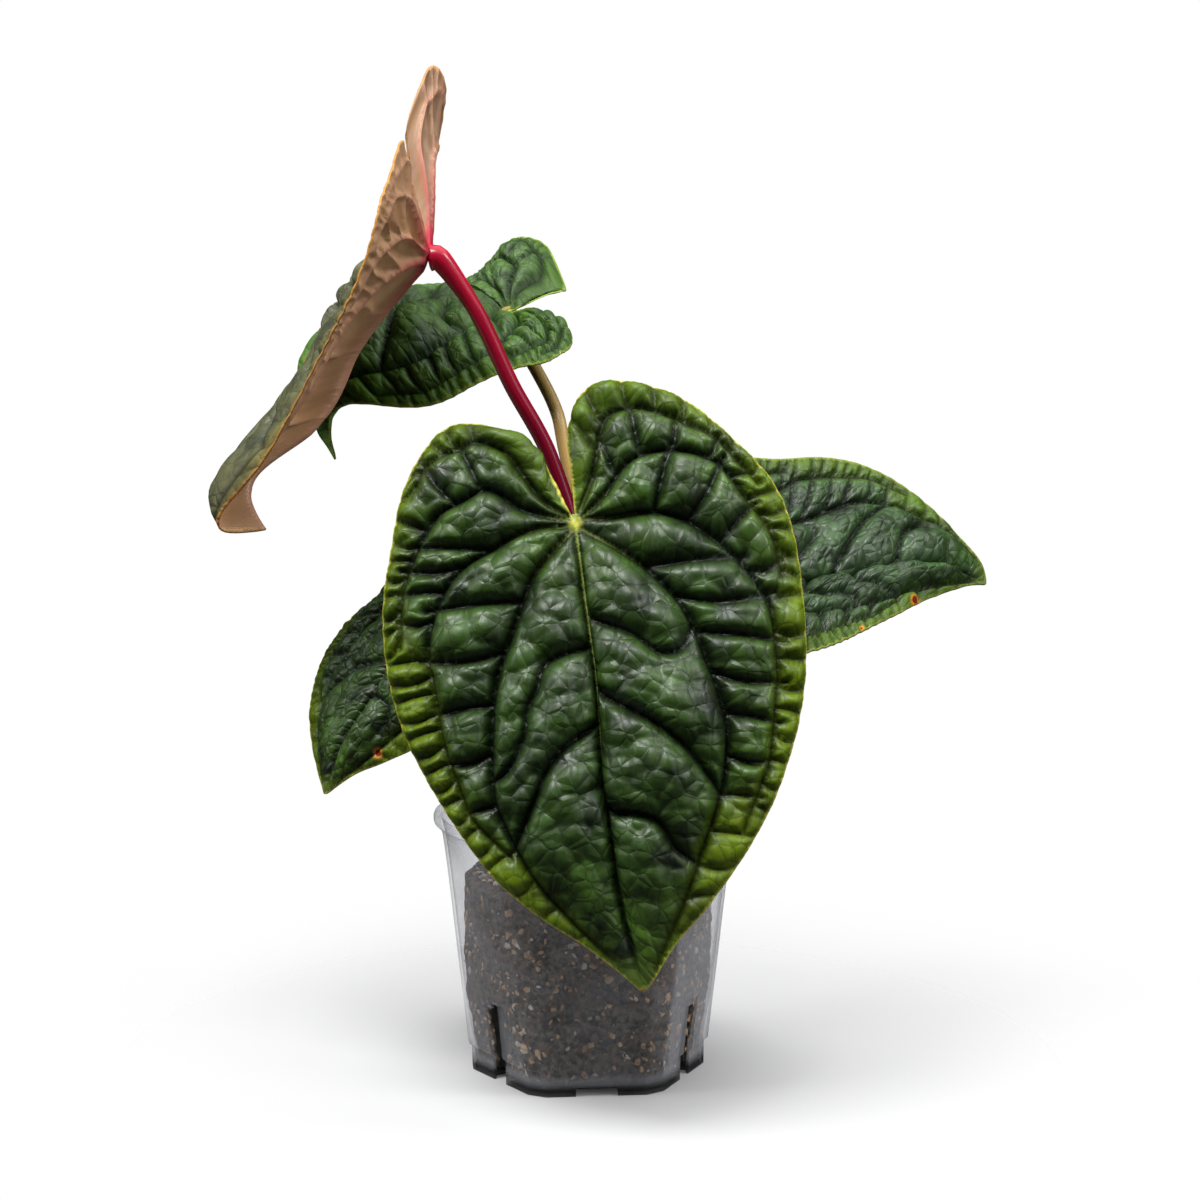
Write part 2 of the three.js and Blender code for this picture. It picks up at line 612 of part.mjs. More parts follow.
// The five blades. Each has the place of its stalk joint, three places on its midrib, ten places
// along each edge from lobe to tip, and how far each half swells.
const BLADES = {
  leaf_front: {
    joint: [-4, -70, 222],
    midrib: [[3, -86, 168], [8, -98, 115], [14, -103, 83]],
    right: [[-7, -60, 251], [0, -51, 269], [23, -50, 270], [52, -58, 252], [74, -66, 219],
      [79, -77, 177], [70, -90, 134], [49, -100, 97], [27, -105, 70], [20, -105, 60]],
    left: [[-14, -64, 241], [-28, -57, 254], [-48, -54, 256], [-66, -62, 233], [-73, -72, 191],
      [-71, -78, 168], [-52, -91, 125], [-26, -101, 93], [-1, -104, 76], [20, -105, 60]],
    sides: [2, 2], up: [0, -0.97, 0.25], spacing: 4.9, relief: PANEL_HEIGHT, color: '#2f5a2b',
  },
  leaf_new: {
    joint: [-60, -10, 316],
    midrib: [[-86, -2, 283], [-105, -8, 250], [-127, -20, 229]],
    right: [[-63, -18, 331], [-66.5, -34, 346], [-66, -50, 358], [-70, -66, 344], [-74, -78, 328],
      [-82, -78, 305], [-96, -66, 280], [-117, -50, 244], [-137, -36, 218], [-120, -30, 215]],
    left: [[-64.5, -6, 329], [-68, -1, 364], [-60.5, 8, 386], [-54.7, 20, 377], [-66, 44, 341],
      [-91, 50, 309], [-108, 38, 282], [-121, 18, 250], [-136, -8, 222], [-120, -30, 215]],
    sides: [0, 1], up: [-0.9, -0.1, 0.4], spacing: 7.4, relief: 0.7 * PANEL_HEIGHT,
    color: '#a5825f',
  },
  leaf_back: {
    joint: [-32, 55, 293],
    midrib: [[-65, 54, 286], [-94, 50, 268], [-106, 46, 249]],
    right: [[-19, 50, 292], [-11, 40, 289], [-6, 25, 283], [-11, 15, 278], [-24, 10, 274],
      [-42, 10, 267], [-63, 15, 258], [-93, 25, 258], [-102, 36, 248], [-101, 42, 235]],
    left: [[-19, 57, 299], [-9, 62, 303], [-16, 78, 318], [-31, 88, 322], [-46, 92, 307],
      [-59, 92, 294], [-76, 85, 286], [-91, 70, 277], [-109, 52, 257], [-101, 42, 235]],
    sides: [3, 0], up: [0, -0.5, 0.85], spacing: 9, relief: 0.7 * PANEL_HEIGHT,
    color: '#34602f',
  },
  leaf_side: {
    joint: [56, -15, 200],
    midrib: [[89, 6, 188], [124, 26, 190], [145, 38, 189]],
    right: [[43, -19, 206], [34, -19, 214], [37, -9, 226], [52, 8, 235], [71, 25, 237],
      [92, 38, 237], [116, 48, 230], [139, 50, 214], [155, 47, 197], [160, 45, 185]],
    left: [[43, -25, 201], [36, -34, 197], [37, -47, 188], [48, -52, 177], [69, -48, 171],
      [84, -38, 171], [106, -12, 175], [129, 15, 181], [149, 35, 185], [160, 45, 185]],
    sides: [-3, -3], up: [0, -0.6, 0.8], spacing: 7.8, relief: 0.72 * PANEL_HEIGHT,
    color: '#2d5430',
  },
  leaf_low: {
    joint: [-50, -15, 201],
    midrib: [[-67, -18, 172], [-84, -22, 146], [-95, -23, 128]],
    right: [[-40, -20, 210], [-33, -25, 213], [-25, -35, 205], [-22, -42, 190], [-27, -45, 172],
      [-35, -45, 157], [-51, -40, 142], [-72, -32, 129], [-92, -25, 119], [-100, -22, 113]],
    left: [[-48, -10, 211], [-51, -5, 219], [-62, 5, 217], [-72, 15, 201], [-85, 20, 180],
      [-96, 20, 171], [-106, 15, 154], [-108, 2, 136], [-104, -12, 121], [-100, -22, 113]],
    sides: [2, 2], up: [-0.2, -0.8, 0.55], spacing: 7.8, relief: 0.64 * PANEL_HEIGHT,
    color: '#38602c',
  },
};

// The five stalks, from inside the stem up to the underside of the blade's joint. Each is cut one
// gap short of the stem and of its blade.
const STALKS = {
  petiole_front: {
    path: [[0, -5.6, 86], [0, -10, 125], [-2, -24, 180], [-4, -48, 216]],
    leaf: 'leaf_front',
    radii: [2.7, 2.5, 2.9], color: '#7d8a3c',
  },
  petiole_new: {
    path: [[-3.3, 4.5, 86], [-4, 6, 140], [-4, 3, 200], [-14, 0, 239], [-29, -4, 268],
      [-41, -7, 294]],
    leaf: 'leaf_new',
    radii: [2.7, 3, 3.7], color: '#a8163a',
  },
  petiole_back: {
    path: [[3.3, 4.5, 86], [5, 12, 140], [-1, 19, 200], [-9, 25, 240], [-14, 33, 259]],
    leaf: 'leaf_back',
    radii: [2.7, 2.4, 2.7], color: '#7c6a3a',
  },
  petiole_side: {
    path: [[5.3, -1.7, 86], [13, -1, 125], [30, 0, 165], [44, -3, 181]],
    leaf: 'leaf_side',
    radii: [2.7, 2.4, 2.7], color: '#6f7a3a',
  },
  petiole_low: {
    path: [[-5.3, -1.7, 86], [-12, 0, 125], [-29, 2, 168], [-41, 0, 184]],
    leaf: 'leaf_low',
    radii: [2.7, 2.4, 2.7], color: '#6f7a3a',
  },
};

const plant = new THREE.Group();
plant.name = 'potted_anthurium';
plant.add(meshFromSolid('pot', pot(), '#c9cdd2'));
plant.add(meshFromSolid('substrate', substrate(), '#3b3430'));
plant.add(meshFromSolid('stem', stem(0), '#6b5a3a'));
for (const [name, { path, leaf, radii, color }] of Object.entries(STALKS)) {
  const { place, face } = lay(BLADES[leaf])([0, 0]);
  const clearance = blade(BLADES[leaf], GAP);
  const under = [add(place, face, -9), add(place, face, -BLADE - 2 * GAP)];
  const body = stalk([...path, ...under], radii)
    .subtract(stem(GAP))
    .subtract(solid(clearance.points, clearance.faces));
  plant.add(meshFromSolid(name, body, color));
}
for (const [name, spec] of Object.entries(BLADES)) {
  const { points, faces } = blade(spec);
  plant.add(meshFrom(name, points, faces, spec.color));
}

export default plant;
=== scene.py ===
"""Potted anthurium luxurians: a clear pot, its root ball, a stem, five stalks and five blades.

The solids are loaded as a fixed frame, and the pieces below are made around them, in metres.
"""

import math

import bpy
import numpy as np
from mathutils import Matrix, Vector, geometry, kdtree, noise


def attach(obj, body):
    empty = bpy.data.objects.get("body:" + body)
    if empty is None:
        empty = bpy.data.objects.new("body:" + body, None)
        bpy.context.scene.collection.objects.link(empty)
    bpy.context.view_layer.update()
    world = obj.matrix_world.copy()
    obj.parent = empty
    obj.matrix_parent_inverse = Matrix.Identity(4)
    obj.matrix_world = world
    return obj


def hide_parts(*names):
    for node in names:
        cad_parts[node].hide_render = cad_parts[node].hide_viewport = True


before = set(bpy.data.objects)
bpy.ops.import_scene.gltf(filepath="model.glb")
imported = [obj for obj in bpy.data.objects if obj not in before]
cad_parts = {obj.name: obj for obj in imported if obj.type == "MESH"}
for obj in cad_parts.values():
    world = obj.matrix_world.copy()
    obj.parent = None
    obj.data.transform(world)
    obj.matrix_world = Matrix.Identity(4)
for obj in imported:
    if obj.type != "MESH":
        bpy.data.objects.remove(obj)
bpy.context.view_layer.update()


# Camera. It stands about a metre in front of the plant, a little above the pot, and looks eight
# degrees down through a long lens, as the photograph was taken.
mm = 0.001
lens_length = 81
film_width = 36
look_down = math.radians(8)
camera_place = (4.738 * mm, -1030.185 * mm, 329.379 * mm)
camera_data = bpy.data.cameras.new("camera")
camera_data.lens = lens_length
camera_data.sensor_width = film_width
camera_data.clip_start = 0.05
camera_data.clip_end = 60
camera = bpy.data.objects.new("camera", camera_data)
camera.location = camera_place
camera.rotation_euler = (math.radians(90) - look_down, 0, 0)
bpy.context.scene.collection.objects.link(camera)
bpy.context.scene.camera = camera
bpy.context.scene.view_settings.view_transform = "Standard"


# Studio. A white paper sweep lies under the pot and runs out of sight, and the surroundings are
# white to the eye but light the plant only dimly, so that its dark greens keep their depth.
surround_strength = 0.035
paper_radius = 9
paper_grey = (0.48, 0.48, 0.483, 1)
shadow_core = 20 * mm
shadow_pool = 110 * mm
fade_start = 130 * mm
fade_end = 300 * mm
pool_clearness = 0.45


def hex_colour(code):
    """An sRGB colour such as "2f5a2b" as linear red, green, blue and alpha."""
    parts = [int(code[i:i + 2], 16) / 255 for i in (0, 2, 4)]
    linear = [p / 12.92 if p <= 0.04045 else ((p + 0.055) / 1.055) ** 2.4 for p in parts]
    return (*linear, 1.0)


def add_node(tree, kind, inputs=None, **settings):
    """Adds a shader node. A node or a socket given for an input is linked, and a number is set.

    A text given for an input is a colour in hex.
    """
    node = tree.nodes.new("ShaderNode" + kind)
    for key, value in settings.items():
        setattr(node, key, value)
    for name, value in (inputs or {}).items():
        if isinstance(value, bpy.types.Node):
            value = value.outputs[0]
        if isinstance(value, bpy.types.NodeSocket):
            tree.links.new(value, node.inputs[name])
        elif isinstance(value, str):
            node.inputs[name].default_value = hex_colour(value)
        else:
            node.inputs[name].default_value = value
    return node


def new_material(name):
    """An empty node material and its node tree."""
    material = bpy.data.materials.new(name)
    material.use_nodes = True
    material.node_tree.nodes.clear()
    return material, material.node_tree


def deselect_all():
    for item in bpy.context.selected_objects:
        item.select_set(False)


world = bpy.data.worlds.new("studio")
world.use_nodes = True
bpy.context.scene.world = world
sky = world.node_tree
sky.nodes.clear()
seen = add_node(sky, "LightPath").outputs["Is Camera Ray"]
dim = add_node(sky, "Background", {"Color": (0.92, 0.96, 1.0, 1), "Strength": surround_strength})
bright = add_node(sky, "Background", {"Color": (1, 1, 1, 1), "Strength": 1.0})
both = add_node(sky, "MixShader", {0: seen, 1: dim, 2: bright})
add_node(sky, "OutputWorld", {"Surface": both})

deselect_all()
bpy.ops.mesh.primitive_circle_add(vertices=96, radius=paper_radius, fill_type="NGON")
sweep = bpy.context.object
sweep.name = "paper_sweep"

# Matt white paper. It shows the shadow near the pot and turns clear further out.
paper, tree = new_material("white seamless paper")
place = add_node(tree, "TexCoord").outputs["Object"]
reach = add_node(tree, "VectorMath", {0: place}, operation="LENGTH").outputs["Value"]
glow = add_node(tree, "MapRange", {
    "Value": reach, "From Min": shadow_core, "From Max": shadow_pool,
    "To Max": pool_clearness}, interpolation_type="SMOOTHSTEP")
fade = add_node(tree, "MapRange", {
    "Value": reach, "From Min": fade_start, "From Max": fade_end,
    "To Min": glow}, interpolation_type="SMOOTHSTEP")
sheet = add_node(tree, "BsdfDiffuse", {"Color": paper_grey})
clear = add_node(tree, "BsdfTransparent")
mixed = add_node(tree, "MixShader", {0: fade, 1: sheet, 2: clear})
add_node(tree, "OutputMaterial", {"Surface": mixed})
sweep.data.materials.append(paper)
sweep.visible_glossy = False


def soft_box(name, place, target, size, power):
    """A soft box at a place, in metres, facing a target, with its size in metres and its watts."""
    data = bpy.data.lights.new(name, "AREA")
    data.shape = "RECTANGLE"
    data.size, data.size_y = size
    data.energy = power
    light = bpy.data.objects.new(name, data)
    light.location = place
    light.rotation_euler = (Vector(target) - Vector(place)).to_track_quat("-Z", "Y").to_euler()
    bpy.context.scene.collection.objects.link(light)


soft_box("top_box", (0, -0.15, 1.6), (0, 0, 0), (2.7, 2.3), 38)
soft_box("front_box", (-0.3, -0.6, 1.4), (0, -0.05, 0.2), (0.7, 0.5), 29)
soft_box("right_box", (0.9, -0.3, 0.95), (-0.05, 0, 0.25), (0.35, 0.35), 7)
soft_box("left_box", (-1.2, -0.3, 0.7), (0, 0, 0.2), (0.4, 0.9), 7)
soft_box("low_box", (0.85, -0.5, 0.3), (-0.1, -0.03, 0.3), (0.5, 0.5), 1.8)


# Nursery pot. One clear plastic moulding with a wall about 1.2 mm thick: a rolled rim, a tapered
# wall that turns from round to six flats with eased corners, a skirt, a raised floor and a foot.
rim_radius = 60
pot_height = 102
lip_height = 4
wall = 1.2
skirt_radius = 47.7
skirt_height = 9.5
shoulder_radius = 49.5
top_radius = 57.6
floor_low = 1.2
floor_high = 2.6
foot_radius = 9
pot_turn = math.radians(5)
corner_half_angle = math.radians(5)
pot_sides = 144
neck = pot_height - lip_height
flats_top = 80
flats_loss = 0.15
sharp_angle = math.radians(28)

# Height and outside radius, in mm, of the rings of the tapered wall.
wall_rings = [(28, 51.4), (45, 53.3), (62, 55.1), (flats_top, 57.1), (87, 57.2),
              (neck - 4, top_radius - 0.3)]
# The same for every ring of the moulding, from the foot round the outside and in.
pot_profile = [
    (0, foot_radius), (floor_low - 0.6, foot_radius), (floor_low, foot_radius + 0.6),
    (floor_low, skirt_radius - 1.6), (0.3, skirt_radius - 1.4), (0, skirt_radius - 1.1),
    (0, skirt_radius - 0.3), (0.3, skirt_radius), (skirt_height - 0.2, skirt_radius + 0.1),
    (skirt_height + 0.4, skirt_radius + 0.5), (skirt_height + 1, shoulder_radius - 0.3),
    (skirt_height + 1.5, shoulder_radius), *wall_rings, (neck - 1, top_radius),
    (neck, top_radius + 0.5), (neck + 0.2, rim_radius - 0.8), (neck + 0.8, rim_radius - 0.2),
    (neck + 1.6, rim_radius), (pot_height - 1.2, rim_radius), (pot_height - 0.4, rim_radius - 0.3),
    (pot_height, rim_radius - 0.9), (pot_height, rim_radius - 2),
    (pot_height - 0.4, rim_radius - 2.7), (pot_height - 1.4, rim_radius - 3.3),
    (neck, top_radius - wall), *[(height, radius - wall) for height, radius in wall_rings[::-1]],
    (skirt_height + 1, skirt_radius - 0.6), (floor_high + 0.6, skirt_radius - 1.4),
    (floor_high, skirt_radius - 2.2), (floor_high, foot_radius),
]


def pot_shape(height, angle):
    """How far in the wall lies at one height and angle, as a share of its ring's radius."""
    flats_base = skirt_height + 2
    if height <= flats_base:
        flatness = 1.0
    elif height <= flats_top:
        flatness = 1 - flats_loss * (height - flats_base) / (flats_top - flats_base)
    else:
        flatness = (1 - flats_loss) * max(0.0, (neck - height) / (neck - flats_top)) ** 0.8
    from_corner = abs((angle - pot_turn + math.pi / 6) % (math.pi / 3) - math.pi / 6)
    cut = 1 / (1 + math.tan(corner_half_angle) * math.tan(math.pi / 6))
    flat = math.cos(math.pi / 6) / math.cos(math.pi / 6 - from_corner)
    return 1 + flatness * (min(flat, cut / math.cos(from_corner)) - 1)


def turned(name, profile, sides, turn=0.0):
    """A closed round body: a disc drawn up ring by ring through heights and radii in mm."""
    deselect_all()
    height, radius = profile[0]
    bpy.ops.mesh.primitive_circle_add(vertices=sides, radius=radius * mm, fill_type="NGON",
                                      location=(0, 0, height * mm), rotation=(0, 0, turn))
    body = bpy.context.object
    body.name = name
    bpy.ops.object.transform_apply(location=True, rotation=True, scale=True)
    bpy.ops.object.mode_set(mode="EDIT")
    bpy.ops.mesh.select_mode(type="EDGE")
    bpy.ops.mesh.select_all(action="SELECT")
    for (low, inner), (high, outer) in zip(profile, profile[1:]):
        bpy.ops.mesh.extrude_edges_move(
            TRANSFORM_OT_translate={"value": (0, 0, (high - low) * mm)})
        bpy.ops.transform.resize(value=(outer / inner, outer / inner, 1))
    bpy.ops.mesh.edge_face_add()
    bpy.ops.object.mode_set(mode="OBJECT")
    return body


pot = turned("clear_pot", pot_profile, pot_sides, pot_turn)
for vertex in pot.data.vertices:
    x, y, z = vertex.co
    if math.hypot(x, y) > (foot_radius + 2) * mm:
        share = pot_shape(z / mm, math.atan2(y, x))
        vertex.co = (x * share, y * share, z)

# One opening in each flat, cut through with blocks: four stepped side slots, and two low notches
# in the skirt. A block is its width, height, place along the flat and height of its middle.
first_opening = 35
notch_steps = (1, 4)
cut_depth = 12
slot_width = 8.4
slot_height = 31
slot_step = 4
notch_width = 16
notch_height = 4
slot_blocks = [(slot_width, slot_height, 0, slot_height / 2 - 1),
               (slot_width / 2, slot_step, slot_width / 4, slot_height - 1)]
notch_blocks = [(notch_width, notch_height, 0, notch_height / 2 - 0.5)]
slot_turns = [first_opening + 60 * step for step in range(6) if step not in notch_steps]
flat_reach = skirt_radius * math.cos(math.pi / 6)
cutters = []
for step in range(6):
    angle = math.radians(first_opening + 60 * step)
    out = flat_reach if step in notch_steps else flat_reach - 1
    for wide, tall, aside, level in notch_blocks if step in notch_steps else slot_blocks:
        spot = (out * math.cos(angle) - aside * math.sin(angle),
                out * math.sin(angle) + aside * math.cos(angle), level)
        deselect_all()
        bpy.ops.mesh.primitive_cube_add(size=1, location=[v * mm for v in spot],
                                        rotation=(0, 0, angle),
                                        scale=(cut_depth * mm, wide * mm, tall * mm))
        cutters.append(bpy.context.object)
for cutter in cutters:
    cut = pot.modifiers.new("slot", "BOOLEAN")
    cut.operation = "DIFFERENCE"
    cut.solver = "EXACT"
    cut.object = cutter
    deselect_all()
    bpy.context.view_layer.objects.active = pot
    pot.select_set(True)
    bpy.ops.object.modifier_apply(modifier=cut.name)
    bpy.data.objects.remove(cutter)
bpy.ops.object.shade_smooth_by_angle(angle=sharp_angle)


def repeats(width):
    """The scale of a pattern whose features are this many mm wide."""
    return 1 / (width * mm)


# Clear polypropylene, injection moulded: it passes light nearly straight, mirrors a little, and
# handling has left a milky haze that grows where the eye grazes the wall. Its foot is darkened with
# painted shade.
smear_width = 14.3
foot_shade_top = 9
foot_shade_full = 2
plastic, tree = new_material("clear polypropylene, moulded, hazy")
place = add_node(tree, "TexCoord").outputs["Object"]
smears = add_node(tree, "TexNoise", {
    "Vector": place, "Scale": repeats(smear_width), "Detail": 4.0, "Roughness": 0.6})
smear_share = add_node(tree, "MapRange", {
    "Value": smears, "From Min": 0.3, "From Max": 0.7, "To Min": 0.03, "To Max": 0.1})
grazing = add_node(tree, "LayerWeight", {"Blend": 0.5}).outputs["Facing"]
graze_share = add_node(tree, "MapRange", {
    "Value": grazing, "From Min": 0.42, "To Max": 0.5}, interpolation_type="SMOOTHSTEP")
haze_share = add_node(tree, "Math", {0: smear_share, 1: graze_share}, operation="ADD")
scuffs = add_node(tree, "Bump", {"Height": smears, "Strength": 0.25, "Distance": 0.1 * mm})
through = add_node(tree, "BsdfTransparent", {"Color": (0.94, 0.942, 0.946, 1)})
height = add_node(tree, "SeparateXYZ", {0: place}).outputs["Z"]
# Painted shade: the wall's colour turns dark towards its foot.
foot_shade = add_node(tree, "MapRange", {
    "Value": height, "From Min": foot_shade_top * mm, "From Max": foot_shade_full * mm},
    interpolation_type="SMOOTHSTEP")
film_and_shade_share = add_node(tree, "Math", {0: foot_shade, 1: 0.5, 2: haze_share}, operation="MULTIPLY_ADD")
film_and_shade = add_node(tree, "Mix", {0: foot_shade, 6: "d0d2d8", 7: "1c1a1a"}, data_type="RGBA").outputs[2]
haze = add_node(tree, "BsdfPrincipled", {
    "Base Color": film_and_shade, "Roughness": 0.22, "IOR": 1.49, "Normal": scuffs})
skin = add_node(tree, "MixShader", {0: film_and_shade_share, 1: through, 2: haze})
add_node(tree, "OutputMaterial", {"Surface": skin})
pot.data.materials.append(plastic)
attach(pot, "root")
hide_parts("pot")


# Root ball. Moist bark, charcoal and perlite held together by roots, pressed against the wall in
# the six-sided foot of the pot. It is rough all over and hollowed where the stem sits.
soil_top = 78
soil_side = 48.2
soil_clearance = 0.9
crown_reach = 45
crown_rise = 2
rise_run = 36
stem_hole = 9.3
stem_seat = 70
side_rings = 38
top_rings = 16
ball_sides = 180
slot_reach = 47
inner_rings = [(floor_high, skirt_radius - 1.4), (skirt_height + 1, skirt_radius - 0.6),
               *[(height, radius - wall) for height, radius in wall_rings[:4]]]
lump_pitch = 0.16
lump_height = 1.1
crumb_pitch = 0.75
crumb_height = 0.7
deepest_pit = 2.2
proudest_crumb = 0.6


def soil_reach(height, angle):
    """Radius of the plug's side at one height and angle, in mm: the wall's, less a clearance."""
    wall_radius = float(np.interp(height, *zip(*inner_rings)))
    return min(soil_side, wall_radius * pot_shape(height, angle) - soil_clearance)


def soil_level(ring):
    """Height of the plug's top at one radius, in mm. It rises a little towards the stem."""
    return soil_top + crown_rise * (crown_reach - ring) / rise_run


def washed_out(height, angle):
    """True where the mix has been washed out behind one of the four side slots."""
    turns = [angle - math.radians(slot) for slot in slot_turns]
    half = slot_width / 2 + 0.2
    return height < slot_height and any(
        math.cos(turn) > 0 and abs(slot_reach * math.sin(turn)) < half for turn in turns)


soil_profile = [(floor_high + 0.3, soil_side - 2)]
for k in range(side_rings):
    share = k / (side_rings - 1)
    soil_profile.append((floor_high + 1.6 + share * (soil_top - 4 - floor_high), soil_side))
soil_profile += [(soil_top - 1.5, soil_side - 1), (soil_top - 0.6, soil_side - 3)]
for k in range(1, top_rings + 1):
    ring = crown_reach - (crown_reach - stem_hole) * k / top_rings
    soil_profile.append((soil_level(ring), ring))
soil_profile.append((stem_seat, stem_hole - 0.1))
root_ball = turned("root_ball", soil_profile, ball_sides)
for vertex in root_ball.data.vertices:
    place = vertex.co / mm
    spread = math.hypot(place.x, place.y)
    if spread < stem_hole + 1.5:
        continue
    angle = math.atan2(place.y, place.x)
    fitted = min(spread, soil_reach(place.z, angle))
    if spread > 40 and washed_out(place.z, angle):
        fitted -= 2
    if place.z < floor_high + 1:
        fitted -= 2
    vertex.co = (vertex.co.x * fitted / spread, vertex.co.y * fitted / spread, vertex.co.z)
    if place.z < floor_high + 1:
        continue
    lumps = noise.fractal(place * lump_pitch, 0.9, 2.1, 4, noise_basis="PERLIN_ORIGINAL")
    crumbs = noise.noise(place * crumb_pitch)
    rough = lump_height * lumps + crumb_height * crumbs - 0.3
    rough = max(-deepest_pit, min(proudest_crumb, rough))
    side = min(1.0, max(0.0, (soil_top - 1 - place.z) / 4))
    outward = Vector((place.x / spread * side, place.y / spread * side, 1 - side))
    vertex.co += outward * rough * mm
bpy.ops.object.shade_smooth()

# Composted bark: nearly black when moist, with brown fibres and grey crumbs a few mm wide.
# Behind the first two side slots it is darkened nearly to black with painted shade.
crumb_width = 2.38
patch_width = 11.1
fleck_width = 3.03
bark_mix, tree = new_material("moist composted bark, screened")
place = add_node(tree, "TexCoord").outputs["Object"]
crumb = add_node(tree, "TexNoise", {
    "Vector": place, "Scale": repeats(crumb_width), "Detail": 6.0, "Roughness": 0.65})
patch = add_node(tree, "TexNoise", {
    "Vector": place, "Scale": repeats(patch_width), "Detail": 3.0})
grain = add_node(tree, "TexVoronoi", {
    "Vector": place, "Scale": repeats(fleck_width)}).outputs["Distance"]
crumb_share = add_node(tree, "MapRange", {"Value": crumb, "From Min": 0.38, "From Max": 0.68})
patch_share = add_node(tree, "MapRange", {
    "Value": patch, "From Min": 0.45, "From Max": 0.75, "To Max": 0.55})
fleck_share = add_node(tree, "MapRange", {
    "Value": grain, "From Min": 0.16, "From Max": 0.05, "To Max": 0.5})
layers = [(crumb_share, "75675a"), (patch_share, "5c4433"), (fleck_share, "b3a18c")]
height = add_node(tree, "SeparateXYZ", {0: place}).outputs["Z"]
low_down = add_node(tree, "Math", {0: height, 1: (slot_height - 0.5) * mm}, operation="LESS_THAN")
# Painted shade: below the slots' tops, the bark behind the first two slots turns nearly black.
for slot in slot_turns[:2]:
    turn = math.radians(slot)
    across = (-math.sin(turn), math.cos(turn), 0)
    aside = add_node(tree, "VectorMath", {0: place, 1: across},
                     operation="DOT_PRODUCT").outputs["Value"]
    aside = add_node(tree, "Math", {0: aside}, operation="ABSOLUTE")
    behind = add_node(tree, "Math", {0: aside, 1: (slot_width / 2 + 0.7) * mm},
                      operation="LESS_THAN")
    behind = add_node(tree, "Math", {0: behind, 1: low_down}, operation="MULTIPLY")
    layers.append((behind, "0c0907"))
colour = "1e1a17"
for share, shade in layers:
    colour = add_node(tree, "Mix", {0: share, 6: colour, 7: shade}, data_type="RGBA").outputs[2]
pits = add_node(tree, "Bump", {"Height": crumb, "Strength": 0.9, "Distance": 0.7 * mm})
skin = add_node(tree, "BsdfPrincipled", {"Base Color": colour, "Roughness": 0.85, "Normal": pits})
add_node(tree, "OutputMaterial", {"Surface": skin})
root_ball.data.materials.append(bark_mix)
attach(root_ball, "root")
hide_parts("substrate")


# Chips. Pine bark broken and screened to a few mm, and grains of expanded perlite, pressed into
# the plug's side and lying on its top.
side_share = 0.72
sunk_share = 0.35


def tumbled(shape_points, centre, size, outward, random):
    """One chip: a small shape stretched, turned by chance and laid against the plug."""
    turn = random.uniform(0, math.pi)
    side = np.cross(outward, (0.0, 0.0, 1.0) if abs(outward[2]) < 0.9 else (1.0, 0.0, 0.0))
    side /= np.linalg.norm(side)
    other = np.cross(outward, side)
    along = side * math.cos(turn) + other * math.sin(turn)
    across = np.cross(outward, along)
    knocked = shape_points * (1 + random.uniform(-0.25, 0.25, shape_points.shape))
    return (centre + knocked[:, :1] * size[0] * along + knocked[:, 1:2] * size[1] * across
            + knocked[:, 2:] * size[2] * outward)


def scatter(name, count, sizes, seed, material):
    """Chips of one kind over the side and top of the plug, in one mesh."""
    random = np.random.default_rng(seed)
    deselect_all()
    bpy.ops.mesh.primitive_ico_sphere_add(subdivisions=1, radius=1)
    chip = bpy.context.object
    shape_points = np.array([v.co for v in chip.data.vertices])
    shape_faces = np.array([p.vertices for p in chip.data.polygons])
    bpy.data.objects.remove(chip)
    points, faces = [], []
    for _ in range(count):
        angle = random.uniform(0, 2 * math.pi)
        length = random.uniform(*sizes)
        size = np.array((length, length * random.uniform(0.45, 0.9), length * 0.45))
        if random.random() < side_share:
            height = random.uniform(5, soil_top - 4)
            if washed_out(height, angle):
                continue
            outward = np.array((math.cos(angle), math.sin(angle), 0.0))
            reach = soil_reach(height, angle) - sunk_share * length
            centre = outward * reach + (0, 0, height)
        else:
            ring = crown_reach * math.sqrt(random.uniform(0.07, 1))
            outward = np.array((0.0, 0.0, 1.0))
            centre = np.array((ring * math.cos(angle), ring * math.sin(angle),
                               soil_level(ring) + 0.2))
        faces.append(shape_faces + len(shape_points) * len(points))
        points.append(tumbled(shape_points, centre, size, outward, random))
    mesh = bpy.data.meshes.new(name)
    mesh.from_pydata((np.vstack(points) * mm).tolist(), [], np.vstack(faces).tolist())
    piece = bpy.data.objects.new(name, mesh)
    bpy.context.scene.collection.objects.link(piece)
    mesh.materials.append(material)
    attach(piece, "root")


def chip_material(name, low, high, roughness):
    """A broken, porous face that is blotched between two colours."""
    blotch_width = 3.85
    pore_width = 0.667
    material, tree = new_material(name)
    place = add_node(tree, "TexCoord").outputs["Object"]
    spot = add_node(tree, "TexNoise", {
        "Vector": place, "Scale": repeats(blotch_width), "Detail": 4.0})
    share = add_node(tree, "MapRange", {"Value": spot, "From Min": 0.35, "From Max": 0.65})
    colour = add_node(tree, "Mix", {0: share, 6: low, 7: high}, data_type="RGBA").outputs[2]
    pores = add_node(tree, "TexNoise", {
        "Vector": place, "Scale": repeats(pore_width), "Detail": 2.0})
    dents = add_node(tree, "Bump", {"Height": pores, "Strength": 0.6, "Distance": 0.25 * mm})
    skin = add_node(tree, "BsdfPrincipled", {
        "Base Color": colour, "Roughness": roughness, "Normal": dents})
    add_node(tree, "OutputMaterial", {"Surface": skin})
    return material


